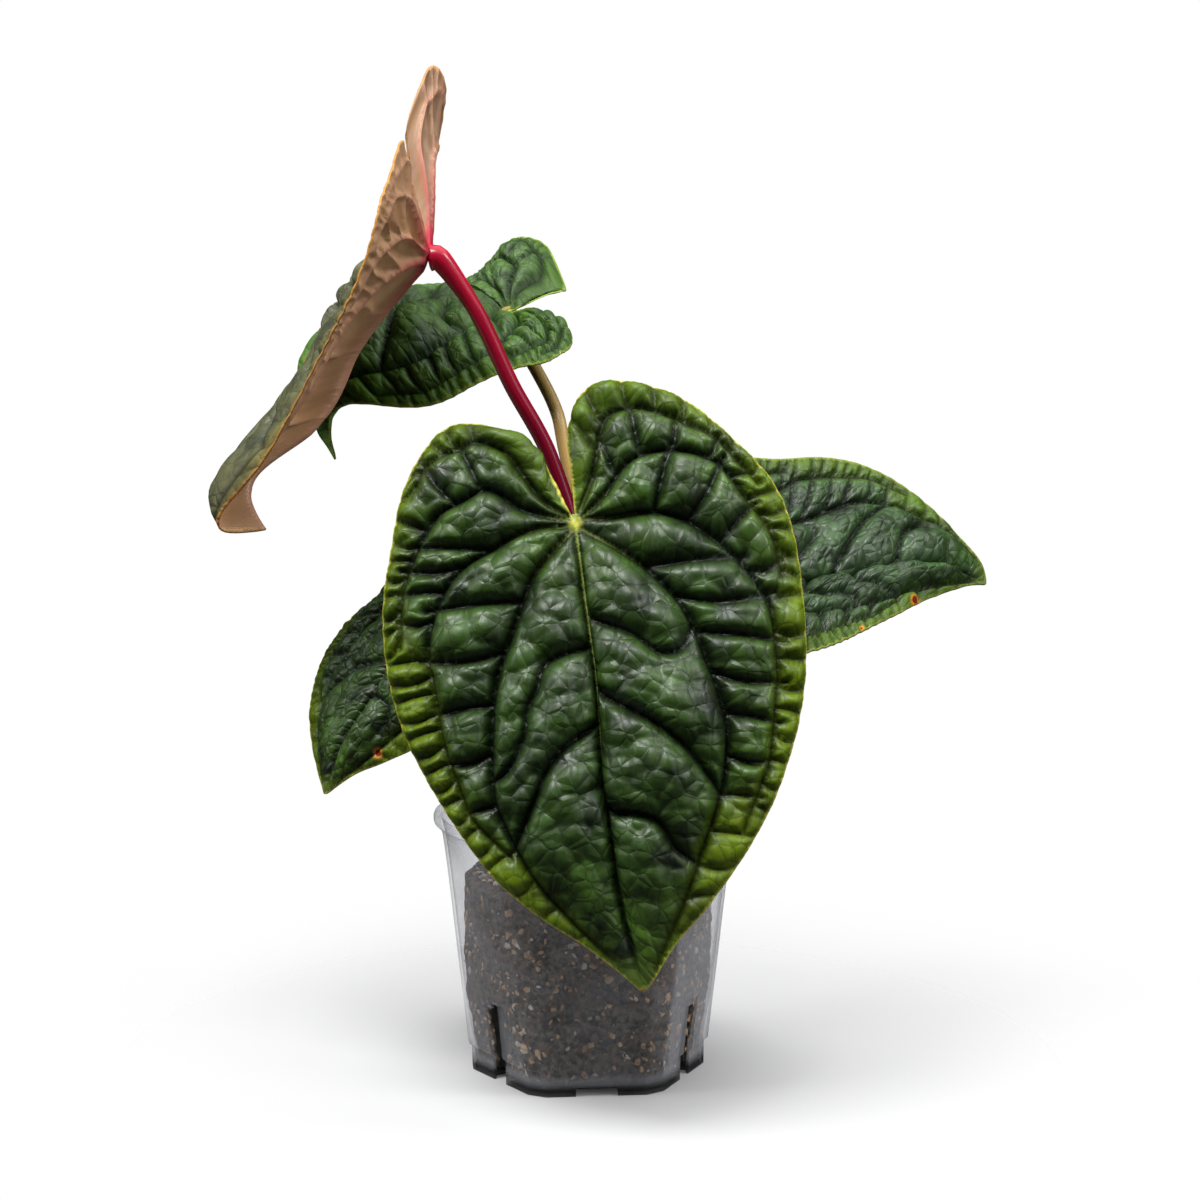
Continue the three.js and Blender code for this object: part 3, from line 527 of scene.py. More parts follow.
# Fresh bark is tan and dry, old bark dark and wet, and perlite off-white, stained by the bark.
tan_bark = chip_material("pine bark, fresh broken face", "7d5c42", "c8a884", 0.8)
dark_bark = chip_material("pine bark, weathered, wet", "1c1714", "3b302a", 0.6)
perlite = chip_material("expanded perlite, stained", "a3968a", "cfc4b6", 0.9)
scatter("tan_bark_chips", 1300, (0.4, 2.1), 11, tan_bark)
scatter("dark_bark_chips", 620, (1.0, 2.6), 12, dark_bark)
scatter("perlite_grains", 170, (0.6, 2.2), 13, perlite)


# Stem. The short woody crown that every stalk grows from, ringed by old leaf scars and wrapped in
# the brown fibres of dried sheaths. It stands in the plug and blunt root tips break its skin.
stem_profile = [(stem_seat, 8.0), (74, 8.5), (77, 8.7), (78.4, 8.2), (79.2, 8.7), (81, 8.4),
                (82.2, 7.8), (83, 8.3), (84.6, 8.5), (86, 8.1), (87, 7.7), (87.8, 8.2), (89, 7.9),
                (90.4, 7.1), (91.4, 6.2), (92.2, 4.8), (92.8, 3.2)]
root_tips = 7
tip_ring = 7.4
tip_level = 81.2
tip_radius = 1.2
tip_length = 2.1
tip_tilt = math.radians(105)
first_tip = 20
tip_turn = 51.4
stem_sides = 60
swell_height = 0.45
fibre_height = 0.22
crumple_height = 0.5
stem = turned("stem_crown", stem_profile, stem_sides)
for vertex in stem.data.vertices:
    place = vertex.co / mm
    if place.z > stem_seat + 1:
        angle = math.atan2(place.y, place.x)
        reach = math.hypot(place.x, place.y)
        swell = swell_height * math.sin(3 * angle + place.z * 0.4) - swell_height
        fibres = fibre_height * math.sin(23 * angle + 2 * math.sin(place.z))
        crumple = crumple_height * noise.noise(place * 0.35)
        share = 1 + (swell + fibres + crumple) / reach
        vertex.co = (vertex.co.x * share, vertex.co.y * share, vertex.co.z)
bpy.ops.object.shade_smooth()
parts = [stem]
for step in range(root_tips):
    angle = math.radians(first_tip + tip_turn * step)
    spot = (tip_ring * math.cos(angle), tip_ring * math.sin(angle), tip_level + 1.5 * (step % 3))
    deselect_all()
    bpy.ops.mesh.primitive_uv_sphere_add(segments=20, ring_count=12, radius=1,
                                         location=[v * mm for v in spot],
                                         rotation=(0, tip_tilt, angle),
                                         scale=(tip_radius * mm, tip_radius * mm, tip_length * mm))
    bpy.ops.object.transform_apply(location=True, rotation=True, scale=True)
    bpy.ops.object.shade_smooth()
    parts.append(bpy.context.object)
deselect_all()
for part in parts:
    part.select_set(True)
bpy.context.view_layer.objects.active = stem
bpy.ops.object.join()

# Cork and dried sheath: matt, from straw to dark brown, with fine upright fibres.
fibre_width = 1.11
fibre_length = 8.33
cork, tree = new_material("corky stem skin with dried sheath fibres")
place = add_node(tree, "TexCoord").outputs["Object"]
drawn = add_node(tree, "Mapping", {
    "Vector": place, "Scale": (repeats(fibre_width), repeats(fibre_width), repeats(fibre_length))})
fibre = add_node(tree, "TexNoise", {"Vector": drawn, "Scale": 1.0, "Detail": 5.0})
fibre_share = add_node(tree, "MapRange", {"Value": fibre, "From Min": 0.35, "From Max": 0.7})
bark = add_node(tree, "Mix", {0: fibre_share, 6: "3d2c1c", 7: "8a6f45"},
                data_type="RGBA").outputs[2]
ridges = add_node(tree, "Bump", {"Height": fibre, "Strength": 0.7, "Distance": 0.4 * mm})
skin = add_node(tree, "BsdfPrincipled", {"Base Color": bark, "Roughness": 0.75, "Normal": ridges})
add_node(tree, "OutputMaterial", {"Surface": skin})
stem.data.materials.append(cork)
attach(stem, "root")
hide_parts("stem")


# Leaf blades. One plan serves all five: a heart with its stalk joint at 0, 0, the tip at 0, 167 mm,
# and the veins that curve out from the joint. The skin is quilted, pushed up between its veins.
plan_length = 167
plan_across = (-80, 80)
plan_down = (-54, 170)
right_edge = [
    (1, -30), (3, -37), (11, -48), (24, -49), (43, -40), (59, -23), (71, -5), (76, 13), (77, 35),
    (75, 57), (70, 78), (61, 99), (48, 119), (34, 135), (20, 147), (9, 159), (3, 165), (0, 167)]
left_edge = [
    (-8, -21), (-13, -29), (-19, -36), (-26, -41), (-39, -41), (-50, -34), (-60, -21), (-67, -1),
    (-73, 21), (-74, 45), (-70, 69), (-59, 97), (-47, 121), (-34, 136), (-18, 149), (-7, 160),
    (-2, 166), (0, 167)]
# Ten marks on each half of the edge, which each blade says the place of.
right_marks = [(1, -30), (11, -48), (33, -46), (59, -23), (76, 13), (77, 46), (66, 89), (41, 128),
               (14, 153), (0, 167)]
left_marks = [(-8, -21), (-26, -41), (-39, -41), (-60, -21), (-73, 21), (-74, 45), (-61, 92),
              (-41, 129), (-18, 149), (0, 167)]
midrib = [(0, 0), (0, 18), (0, 36), (1, 54), (1, 90), (2, 108), (1, 124), (0, 140), (0, 167)]
left_1 = [(-1, 2), (-10, 10), (-18, 18), (-26, 34), (-34, 51), (-38, 71), (-40, 90), (-39, 101),
          (-32, 122), (-22, 138), (-8, 156)]
left_2 = [(-2, 1), (-13, 0), (-23, 2), (-32, 6), (-41, 10), (-48, 16), (-54, 26), (-57, 34),
          (-58, 42), (-57, 52), (-56, 71), (-52, 90), (-49, 101), (-38, 116)]
left_3 = [(-2, -1), (-10, -4), (-19, -8), (-26, -14), (-32, -16), (-40, -13), (-48, -10), (-55, -2),
          (-63, 12), (-66, 22), (-68, 36)]
left_4 = [(-2, -2), (-10, -9), (-17, -20), (-22, -28), (-28, -32), (-33, -33), (-37, -31),
          (-45, -30), (-52, -26), (-55, -21)]
right_1 = [(2, 2), (12, 8), (22, 15), (31, 24), (38, 35), (42, 47), (46, 60), (48, 72), (47, 84),
           (44, 96), (38, 110), (27, 132), (10, 156)]
right_2 = [(3, -1), (14, 0), (26, 0), (37, 4), (46, 10), (55, 18), (61, 25), (65, 33), (66, 51),
           (65, 62), (62, 82), (58, 92), (50, 109)]
right_3 = [(3, -2), (11, -8), (18, -16), (24, -20), (32, -21), (40, -20), (48, -17), (54, -12),
           (61, 1), (68, 13), (70, 24)]
right_4 = [(2, -4), (8, -16), (12, -28), (16, -36), (22, -38), (30, -37), (43, -30), (54, -22),
           (66, -4)]
side_veins = [
    [(0, 32), (9, 36), (18, 40), (26, 46), (34, 44), (38, 36)],
    [(2, 58), (14, 65), (22, 70), (32, 78), (40, 89), (44, 96)],
    [(0, 44), (-16, 48), (-21, 58), (-25, 65), (-26, 72), (-30, 80), (-35, 86), (-40, 88)],
    [(1, 71), (-12, 78), (-20, 86), (-24, 94), (-30, 104), (-36, 113)],
    [(2, 101), (14, 101), (22, 105), (26, 114), (32, 120)]]
# Weaker veins of the middle, which only dent the crowns between the others.
faint_veins = [
    [(1, 51), (12, 54), (22, 52), (30, 56), (43, 58)], [(0, 8), (8, 23), (18, 40)],
    [(2, 82), (16, 82), (20, 90), (24, 99), (32, 94), (38, 88)],
    [(0, 138), (13, 132), (20, 129), (26, 115)], [(0, 153), (12, 145), (20, 130)],
    [(0, 26), (-8, 24), (-14, 24), (-22, 27)], [(-16, 48), (-22, 40), (-28, 38)],
    [(-21, 58), (-28, 54), (-35, 52)], [(-16, 104), (-16, 115), (-11, 126)],
    [(1, 91), (-9, 98), (-16, 104), (-22, 107), (-30, 104)],
    [(2, 118), (-11, 126), (-16, 132), (-22, 138)]]
# Rungs between two lines: how many, and where they start and end as shares of each line's length.
rungs = [
    (right_1, right_2, 7, 0.13, 0.62, 0.37, 0.91), (right_1, right_edge, 4, 0.7, 0.91, 0.74, 0.87),
    (right_2, right_3, 4, 0.16, 0.4, 0.4, 0.97), (right_2, right_edge, 9, 0.47, 0.93, 0.458, 0.705),
    (right_3, right_4, 5, 0.18, 0.65, 0.27, 0.95),
    (right_3, right_edge, 5, 0.75, 0.99, 0.35, 0.447),
    (right_4, right_edge, 8, 0.22, 0.95, 0.028, 0.31),
    (left_1, left_2, 5, 0.185, 0.61, 0.385, 0.86), (left_1, left_edge, 4, 0.71, 0.92, 0.76, 0.895),
    (left_2, left_3, 4, 0.19, 0.41, 0.64, 0.91), (left_2, left_edge, 12, 0.495, 0.94, 0.473, 0.738),
    (left_3, left_4, 2, 0.33, 0.427, 0.694, 0.9),
    (left_3, left_edge, 8, 0.576, 0.984, 0.288, 0.465),
    (left_4, left_edge, 6, 0.63, 0.99, 0.127, 0.26)]
# The border that runs inside the edge and parts the dark middle from the paler margin.
inner_border = [
    (0, 0), (-10, -9), (-17, -20), (-28, -32), (-37, -31), (-52, -26), (-58, -8), (-64, 10),
    (-66, 24), (-59, 42), (-57, 52), (-56, 71), (-52, 90), (-49, 101), (-38, 116), (-31, 125),
    (-22, 138), (-8, 156), (0, 165), (10, 156), (27, 132), (38, 110), (46, 99), (58, 90), (62, 80),
    (65, 62), (66, 51), (67, 36), (70, 19), (61, 1), (60, -12), (54, -22), (43, -30), (30, -37),
    (22, -38), (16, -36), (8, -16)]


def smooth_line(points, steps):
    """A smooth curve through points, with the same number of steps in each span."""
    points = np.asarray(points, float)
    before = np.vstack([2 * points[0] - points[1], points[:-2]])
    start, end = points[:-1], points[1:]
    after = np.vstack([points[2:], 2 * points[-1] - points[-2]])
    out = []
    for a, b, c, d in zip(before, start, end, after):
        t = np.arange(steps)[:, None] / steps
        out.append(0.5 * (2 * b + (c - a) * t + (2 * a - 5 * b + 4 * c - d) * t ** 2
                          + (3 * b - a - 3 * c + d) * t ** 3))
    return np.vstack([*out, points[-1:]])


def even_line(line, spacing):
    """Points spaced evenly along a line, about one spacing apart."""
    line = np.asarray(line, float)
    run = np.concatenate([[0], np.cumsum(np.linalg.norm(np.diff(line, axis=0), axis=1))])
    want = np.linspace(0, run[-1], max(1, round(run[-1] / spacing)) + 1)
    return np.stack([np.interp(want, run, line[:, k]) for k in range(line.shape[1])], 1)


main_veins = [smooth_line(line, 6) for line in (midrib, left_1, left_2, left_3, left_4,
                                                right_1, right_2, right_3, right_4)]
minor_veins = [smooth_line(line, 4) for line in side_veins]
soft_veins = [smooth_line(line, 4) for line in faint_veins]
for first, second, count, a0, a1, b0, b1 in rungs:
    first = even_line(smooth_line(first, 6), 1)
    second = even_line(smooth_line(second, 6), 1)
    for k in range(count):
        t = k / (count - 1)
        start = first[round((a0 + (a1 - a0) * t) * (len(first) - 1))]
        end = second[round((b0 + (b1 - b0) * t) * (len(second) - 1))]
        middle = (start + end) / 2 + (0, 1.5 if k % 2 else -0.5)
        minor_veins.append(smooth_line([start, middle, end, end + (end - middle) * 0.25], 4))
outline_lines = [[(0, 0), left_edge[0]], smooth_line(left_edge, 6),
                 smooth_line(right_edge, 6)[::-1], [right_edge[0], (0, 0)]]


def outline(spacing):
    return np.vstack([even_line(line, spacing)[:-1] for line in outline_lines])


def within(loop, points):
    """True for each point that lies inside a closed loop."""
    x, y = points[:, 0], points[:, 1]
    inside = np.zeros(len(points), bool)
    for (ax, ay), (bx, by) in zip(np.roll(loop, 1, 0), loop):
        if ay != by:
            crosses = (ay > y) != (by > y)
            inside ^= crosses & (x < (bx - ax) * (y - ay) / (by - ay) + ax)
    return inside


# The quilting is a skin held down along the veins and pushed up evenly between them, solved on a
# half millimetre grid. It stays free at the edge of the leaf, so the outer panels run over it.
grid_low = np.array((-80.0, -55.0))
grid_step = 0.5
grid_shape = (453, 323)
push = 0.01
haste = 1.93


def pillows(lines, rounds):
    """The height of the skin over the grid, from 0 on the veins to 1 on the highest crown."""
    rows, columns = np.indices(grid_shape)
    spots = grid_low + grid_step * np.stack([columns.ravel(), rows.ravel()], 1)
    free = within(outline(4) * 1.03 - (0, 1.5), spots).reshape(grid_shape)
    for line in lines:
        cells = np.rint((even_line(line, 0.2) - grid_low) / grid_step).astype(int)
        free[cells[:, 1], cells[:, 0]] = False
    checker = (rows + columns) % 2
    halves = [(free & (checker == k))[1:-1, 1:-1] * haste for k in (0, 1)]
    lift = np.zeros(grid_shape)
    core = lift[1:-1, 1:-1]
    for _ in range(rounds):
        for half in halves:
            mean = (lift[:-2, 1:-1] + lift[2:, 1:-1] + lift[1:-1, :-2] + lift[1:-1, 2:]) / 4
            core += half * (mean + push - core)
    return np.maximum(0, lift) / lift.max()


wide_pillows = pillows(main_veins, 420)
small_pillows = 0.6 * pillows(main_veins + minor_veins, 260)
small_pillows += 0.4 * pillows(main_veins + minor_veins + soft_veins, 260)


def sample(field, points):
    """The value of a field of the half millimetre grid at each plan point."""
    spot = (points - grid_low) / grid_step
    last = [[grid_shape[1] - 2], [grid_shape[0] - 2]]
    column, row = np.clip(np.floor(spot).astype(int).T, 0, last)
    s, t = spot[:, 0] - column, spot[:, 1] - row
    return ((field[row, column] * (1 - s) + field[row, column + 1] * s) * (1 - t)
            + (field[row + 1, column] * (1 - s) + field[row + 1, column + 1] * s) * t)


def finder(points):
    """A search tree over plan points."""
    tree = kdtree.KDTree(len(points))
    for k, (x, y) in enumerate(points):
        tree.insert((x, y, 0), k)
    tree.balance()
    return tree


def plan_points(spacing, loop):
    """Points over the plan, the outline's first, and the edges between those along a vein."""
    points, cells, edges = [], {}, set()
    cell = spacing * 0.6

    def nearest(p, reach):
        column, row = int(p[0] // cell), int(p[1] // cell)
        best, found = reach, None
        for i in (-1, 0, 1):
            for j in (-1, 0, 1):
                for k in cells.get((column + i, row + j), ()):
                    gap = math.hypot(p[0] - points[k][0], p[1] - points[k][1])
                    if gap < best:
                        best, found = gap, k
        return found

    def keep(p):
        cells.setdefault((int(p[0] // cell), int(p[1] // cell)), []).append(len(points))
        points.append((float(p[0]), float(p[1])))
        return len(points) - 1

    for p in loop:
        keep(p)
    for line in main_veins + minor_veins:
        line = even_line(line, spacing * 0.9)
        last = None
        for p, is_inside in zip(line, within(loop, line)):
            k = nearest(p, spacing * 0.5)
            if k is None and is_inside:
                k = keep(p)
            if last is not None and k is not None and k != last:
                edges.add((min(last, k), max(last, k)))
            last = k
    rows = np.arange(*plan_down, spacing * 0.87)
    across = np.arange(*plan_across, spacing)
    x, y = np.meshgrid(across, rows)
    x = x + (np.arange(len(rows)) % 2)[:, None] * spacing / 2
    jitter = np.random.default_rng(5).uniform(-0.08, 0.08, (x.size, 2)) * spacing
    spots = np.stack([x.ravel(), y.ravel()], 1) + jitter
    for p in spots[within(loop, spots)]:
        if nearest(p, spacing * 0.58) is None:
            keep(p)
    return points, [e for e in edges if max(e) >= len(loop)]


# Sizes in mm of what the plan's points know: how far a crown takes to rise from its veins, where
# the margin starts and ends beside the inner border, and the cobbles of the net.
dome_width = 4
margin_start = 4
margin_width = 9
cobble_width = 11
cobble_length = 9
cobble_radius = 6.5
cobble_crest = 1.3


def plan_marks(flat):
    """What each plan point knows: the veins, edge, border and net near it, and the quilting."""
    main_points = [even_line(line, 0.4) for line in main_veins]
    share = np.concatenate([np.linspace(0, 1, len(line)) for line in main_points])
    rank = np.concatenate([np.full(len(line), k) for k, line in enumerate(main_points)])
    border_line = even_line(smooth_line([*inner_border, inner_border[0]], 4), 0.5)
    random = np.random.default_rng(8)
    seeds = np.stack(np.meshgrid(np.arange(*plan_across, cobble_width),
                                 np.arange(*plan_down, cobble_length)), -1)
    seeds = seeds.reshape(-1, 2) + random.uniform(-4, 4, (seeds.size // 2, 2))
    main_tree = finder(np.vstack(main_points))
    minor_tree = finder(np.vstack([even_line(line, 0.4) for line in minor_veins]))
    edge_tree = finder(outline(0.5))
    border_tree = finder(border_line)
    cell_tree = finder(seeds)
    found = []
    for x, y in flat.tolist():
        spot = (x, y, 0)
        _, k, main_gap = main_tree.find(spot)
        first, second = cell_tree.find_n(spot, 2)
        found.append((main_gap, share[k], rank[k], minor_tree.find(spot)[2],
                      edge_tree.find(spot)[2], border_tree.find(spot)[2], first[2],
                      second[2] - first[2]))
    main, along, vein, minor, edge, border, seed, net = np.array(found).T
    outward = border * np.where(within(border_line, flat), -1, 1)
    dome = np.clip(np.minimum(main, minor) / dome_width, 0, 1)
    return {
        "wide": sample(wide_pillows, flat), "small": sample(small_pillows, flat), "main": main,
        "along": along, "vein": vein.astype(int), "minor": minor, "edge": edge, "net": net,
        "margin": np.clip((outward + margin_start) / margin_width, 0, 1),
        "dome": dome * (2 - dome), "cobble": cobble_crest - (seed / cobble_radius) ** 2,
        "reach": np.hypot(*flat.T),
    }


def plan_mesh(spacing):
    """Triangles of the plan, whose edges follow every vein, with what each point knows."""
    loop = outline(spacing)
    points, edges = plan_points(spacing, loop)
    result = geometry.delaunay_2d_cdt([Vector(p) for p in points], edges,
                                      [list(range(len(loop)))], 1, 1e-6, False)
    flat = np.array([tuple(v) for v in result[0]])
    faces = np.array(result[2])
    faces = faces[within(loop, flat[faces].mean(axis=1))]
    sides = np.sort(np.vstack([faces[:, (0, 1)], faces[:, (1, 2)], faces[:, (2, 0)]]), axis=1)
    kinds, counts = np.unique(sides, axis=0, return_counts=True)
    lonely = {tuple(e) for e in kinds[counts == 1]}
    border = [(a, b) for f in faces.tolist() for a, b in zip(f, f[1:] + f[:1])
              if (min(a, b), max(a, b)) in lonely]
    return {"points": flat, "faces": faces, "border": np.array(border), **plan_marks(flat)}


def lay(spec, points):
    """Carries plan points, in mm, to where the blade lies, by spokes from the joint to the edge."""
    joint, tip = np.array(spec["joint"], float), np.array(spec["right"][-1], float)
    upward = np.array(spec["up"], float)
    upward /= np.linalg.norm(upward)
    steps = 24
    rim_plan = np.vstack([smooth_line(left_marks, steps), smooth_line(right_marks, steps)[-2::-1]])
    rim_place = np.vstack([smooth_line(spec["left"], steps),
                           smooth_line(spec["right"], steps)[-2::-1]])
    turns = np.arctan2(rim_plan[:, 0], rim_plan[:, 1])
    for k in range(1, len(turns)):
        turns[k] = max(turns[k], turns[k - 1] + 1e-4)
    rim_reach = np.hypot(rim_plan[:, 0], rim_plan[:, 1])
    stations = np.array([0, 1 / 3, 2 / 3, 0.87, 1])
    bends = [np.zeros(3)]
    for q, place in zip(stations[1:], spec["midrib"]):
        bends.append((place - (joint + q * (tip - joint))) / (1 - q * q))
    bends.append(bends[2] + 1.4 * (bends[3] - bends[2]))
    bend_line = smooth_line(bends, steps)
    full_swell = 27 / 4

    def base(spots):
        u, v = spots[:, 0], spots[:, 1]
        if spec["folded"]:
            wander = np.interp(v, *np.array(midrib, float).T[::-1])
            u = u - wander * np.clip(1 - np.abs(u) / 30, 0, 1)
        angle = np.arctan2(u, v)
        held = np.clip(angle, turns[0], turns[-1])
        q = np.minimum(1.2, np.hypot(u, v) / np.interp(held, turns, rim_reach))
        rim = np.stack([np.interp(held, turns, rim_place[:, k]) for k in range(3)], 1)
        side = np.where(held > 0, spec["sides"][0], spec["sides"][1])
        swell = full_swell * q ** 2 * (1 - q) * side * np.abs(np.sin(np.clip(held, -1.9, 1.9)))
        knot = np.interp(np.clip(v / plan_length, 0, 1), stations, np.arange(5) * steps)
        bend = np.stack([np.interp(knot, np.arange(4 * steps + 1), bend_line[:, k])
                         for k in range(3)], 1)
        return (joint + q[:, None] * (rim - joint) + swell[:, None] * upward
                + bend * (1 - q ** 2)[:, None])

    half_u, half_v = np.array((2.5, 0)), np.array((0, 1.5))
    across = base(points + half_u) - base(points - half_u)
    down = base(points + half_v) - base(points - half_v)
    normal = np.cross(down, across)
    normal /= np.linalg.norm(normal, axis=1)[:, None]
    return base(points), normal


def fall(distance, width):
    """1 on a line, falling smoothly to 0 at one width from it."""
    t = np.clip(1 - distance / width, 0, 1)
    return t * t * (3 - 2 * t)


# Sizes of the skin in mm, before a blade's own relief, and how strong each main vein is.
blade_thickness = 0.8
panel_lift = 1.8
crown_lift = 2.5
dome_lift = 0.45
rib_height = 1.5
rung_height = 0.45
joint_boss = 3.6
rib_run_out = 7
vein_weight = np.array((1.0, 0.9, 0.75, 0.6, 0.5, 0.9, 0.75, 0.6, 0.5))


def quilt_lift(spec, plan):
    """How far the skin is pushed up at each point, less near the edge, the fold and the tip."""
    calm = np.clip(plan["edge"] / spec["flat_edge"], 0, 1)
    calm = 0.15 + 0.85 * calm * (2 - calm)
    calm *= np.clip(np.abs(plan["points"][:, 0] - 0.5) / spec["flat_fold"], 0, 1)
    calm *= np.clip((1.08 - plan["reach"] / plan_length) / spec["flat_tip"], 0, 1)
    panels = panel_lift * plan["wide"] ** 0.8 * (1 - 0.5 * plan["margin"])
    crowns = crown_lift * plan["small"] ** 0.8
    return calm * (spec["relief"] * (panels + crowns + dome_lift * plan["dome"])
                   + spec["cobbles"] * plan["cobble"] * plan["dome"])


def skin_depth(plan, weight, scale):
    """The blade's thickness at each point: the skin, and the ribs that stand out below it."""
    near = np.exp(-plan["reach"] / 10)
    rib_width = (0.7 + 1.5 * weight) * (1 + 0.8 * near)
    rib = (rib_height * weight * (1 + 1.2 * near)
           * np.sqrt(np.maximum(0, 1 - (plan["main"] / rib_width) ** 2)))
    rib = np.maximum(rib, joint_boss * np.exp(-(plan["reach"] / 4.5) ** 2))
    small_rib = rung_height * np.sqrt(np.maximum(0, 1 - (plan["minor"] / 0.8) ** 2))
    inland = np.clip(plan["edge"] / rib_run_out, 0, 1)
    return blade_thickness + np.maximum(rib, small_rib) * inland * max(scale, 0.75)


def colour_marks(spec, plan, weight, scale):
    """The shares by which a blade's materials lay one colour over another."""
    points = plan["points"]
    bright_run = np.where(plan["vein"] == 0, 0.6, 0.14)
    fade = np.clip((bright_run - plan["along"]) / 0.3, 0, 1)
    thread = fall(plan["main"], 0.35 + 0.4 * weight / max(scale, 0.6)) * fade
    scorch = np.zeros(len(points))
    for u, v, radius in spec["scorched"]:
        scorch = np.maximum(scorch, fall(np.hypot(points[:, 0] - u, points[:, 1] - v), radius))
    return {
        "crown": plan["dome"], "thread": thread, "rib": fall(plan["main"], 1.0 + 2.2 * weight),
        "rung": fall(plan["minor"], 1.1),
        # Painted shade: this mark darkens the creases along the veins.
        "crease": np.maximum(fall(plan["main"], 2.0), 0.6 * fall(plan["minor"], 1.6)),
        "margin": plan["margin"], "outer": fall(plan["edge"], 34),
        "rim": fall(plan["edge"], spec["rim_width"]), "cell": fall(plan["net"], 0.9),
        "star": fall(plan["reach"], 3.4), "far": plan["reach"] / plan_length, "scorch": scorch,
    }


def placed(name, mesh):
    """A mesh as a piece of the scene, shaded smooth."""
    piece = bpy.data.objects.new(name, mesh)
    bpy.context.scene.collection.objects.link(piece)
    deselect_all()
    bpy.context.view_layer.objects.active = piece
    piece.select_set(True)
    bpy.ops.object.shade_smooth()
    return piece


def blade(name, spec, plan, upper, under):
    """A closed blade: quilted upper skin, underside with raised ribs, and a rounded rim."""
    place, face = lay(spec, plan["points"])
    scale = np.linalg.norm(np.subtract(spec["right"][-1], spec["joint"])) / plan_length
    weight = vein_weight[plan["vein"]] * (1 - 0.75 * plan["along"])
    top = place + face * quilt_lift(spec, plan)[:, None]
    bottom = top - face * skin_depth(plan, weight, scale)[:, None]
    count = len(top)
    faces = plan["faces"]
    a, b = plan["border"].T
    rim = np.vstack([np.stack([b, a, a + count], 1), np.stack([b, a + count, b + count], 1)])
    every = np.vstack([faces, faces[:, ::-1] + count, rim])
    spots = np.vstack([top, bottom])
    corners = spots[every]
    if np.einsum("ij,ij->", corners[:, 0], np.cross(corners[:, 1], corners[:, 2])) < 0:
        every = every[:, ::-1]
    mesh = bpy.data.meshes.new(name)
    mesh.from_pydata((spots * mm).tolist(), [], every.tolist())
    kinds = np.zeros(len(every), np.int32)
    kinds[len(faces):2 * len(faces)] = 1
    mesh.materials.append(upper)
    mesh.materials.append(under)
    mesh.polygons.foreach_set("material_index", kinds)
    for label, values in colour_marks(spec, plan, weight, scale).items():
        layer = mesh.attributes.new(label, "FLOAT", "POINT")
        layer.data.foreach_set("value", np.concatenate([values, values]).astype(np.float32))
    loops = np.zeros(len(mesh.loops), np.int32)
    mesh.loops.foreach_get("vertex_index", loops)
    flat = np.vstack([plan["points"], plan["points"]])[loops] * mm
    mesh.uv_layers.new(name="plan").data.foreach_set("uv", flat.ravel().astype(np.float32))
    piece = placed(name, mesh)
    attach(piece, "root")
    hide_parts(name.replace("blade", "leaf"))


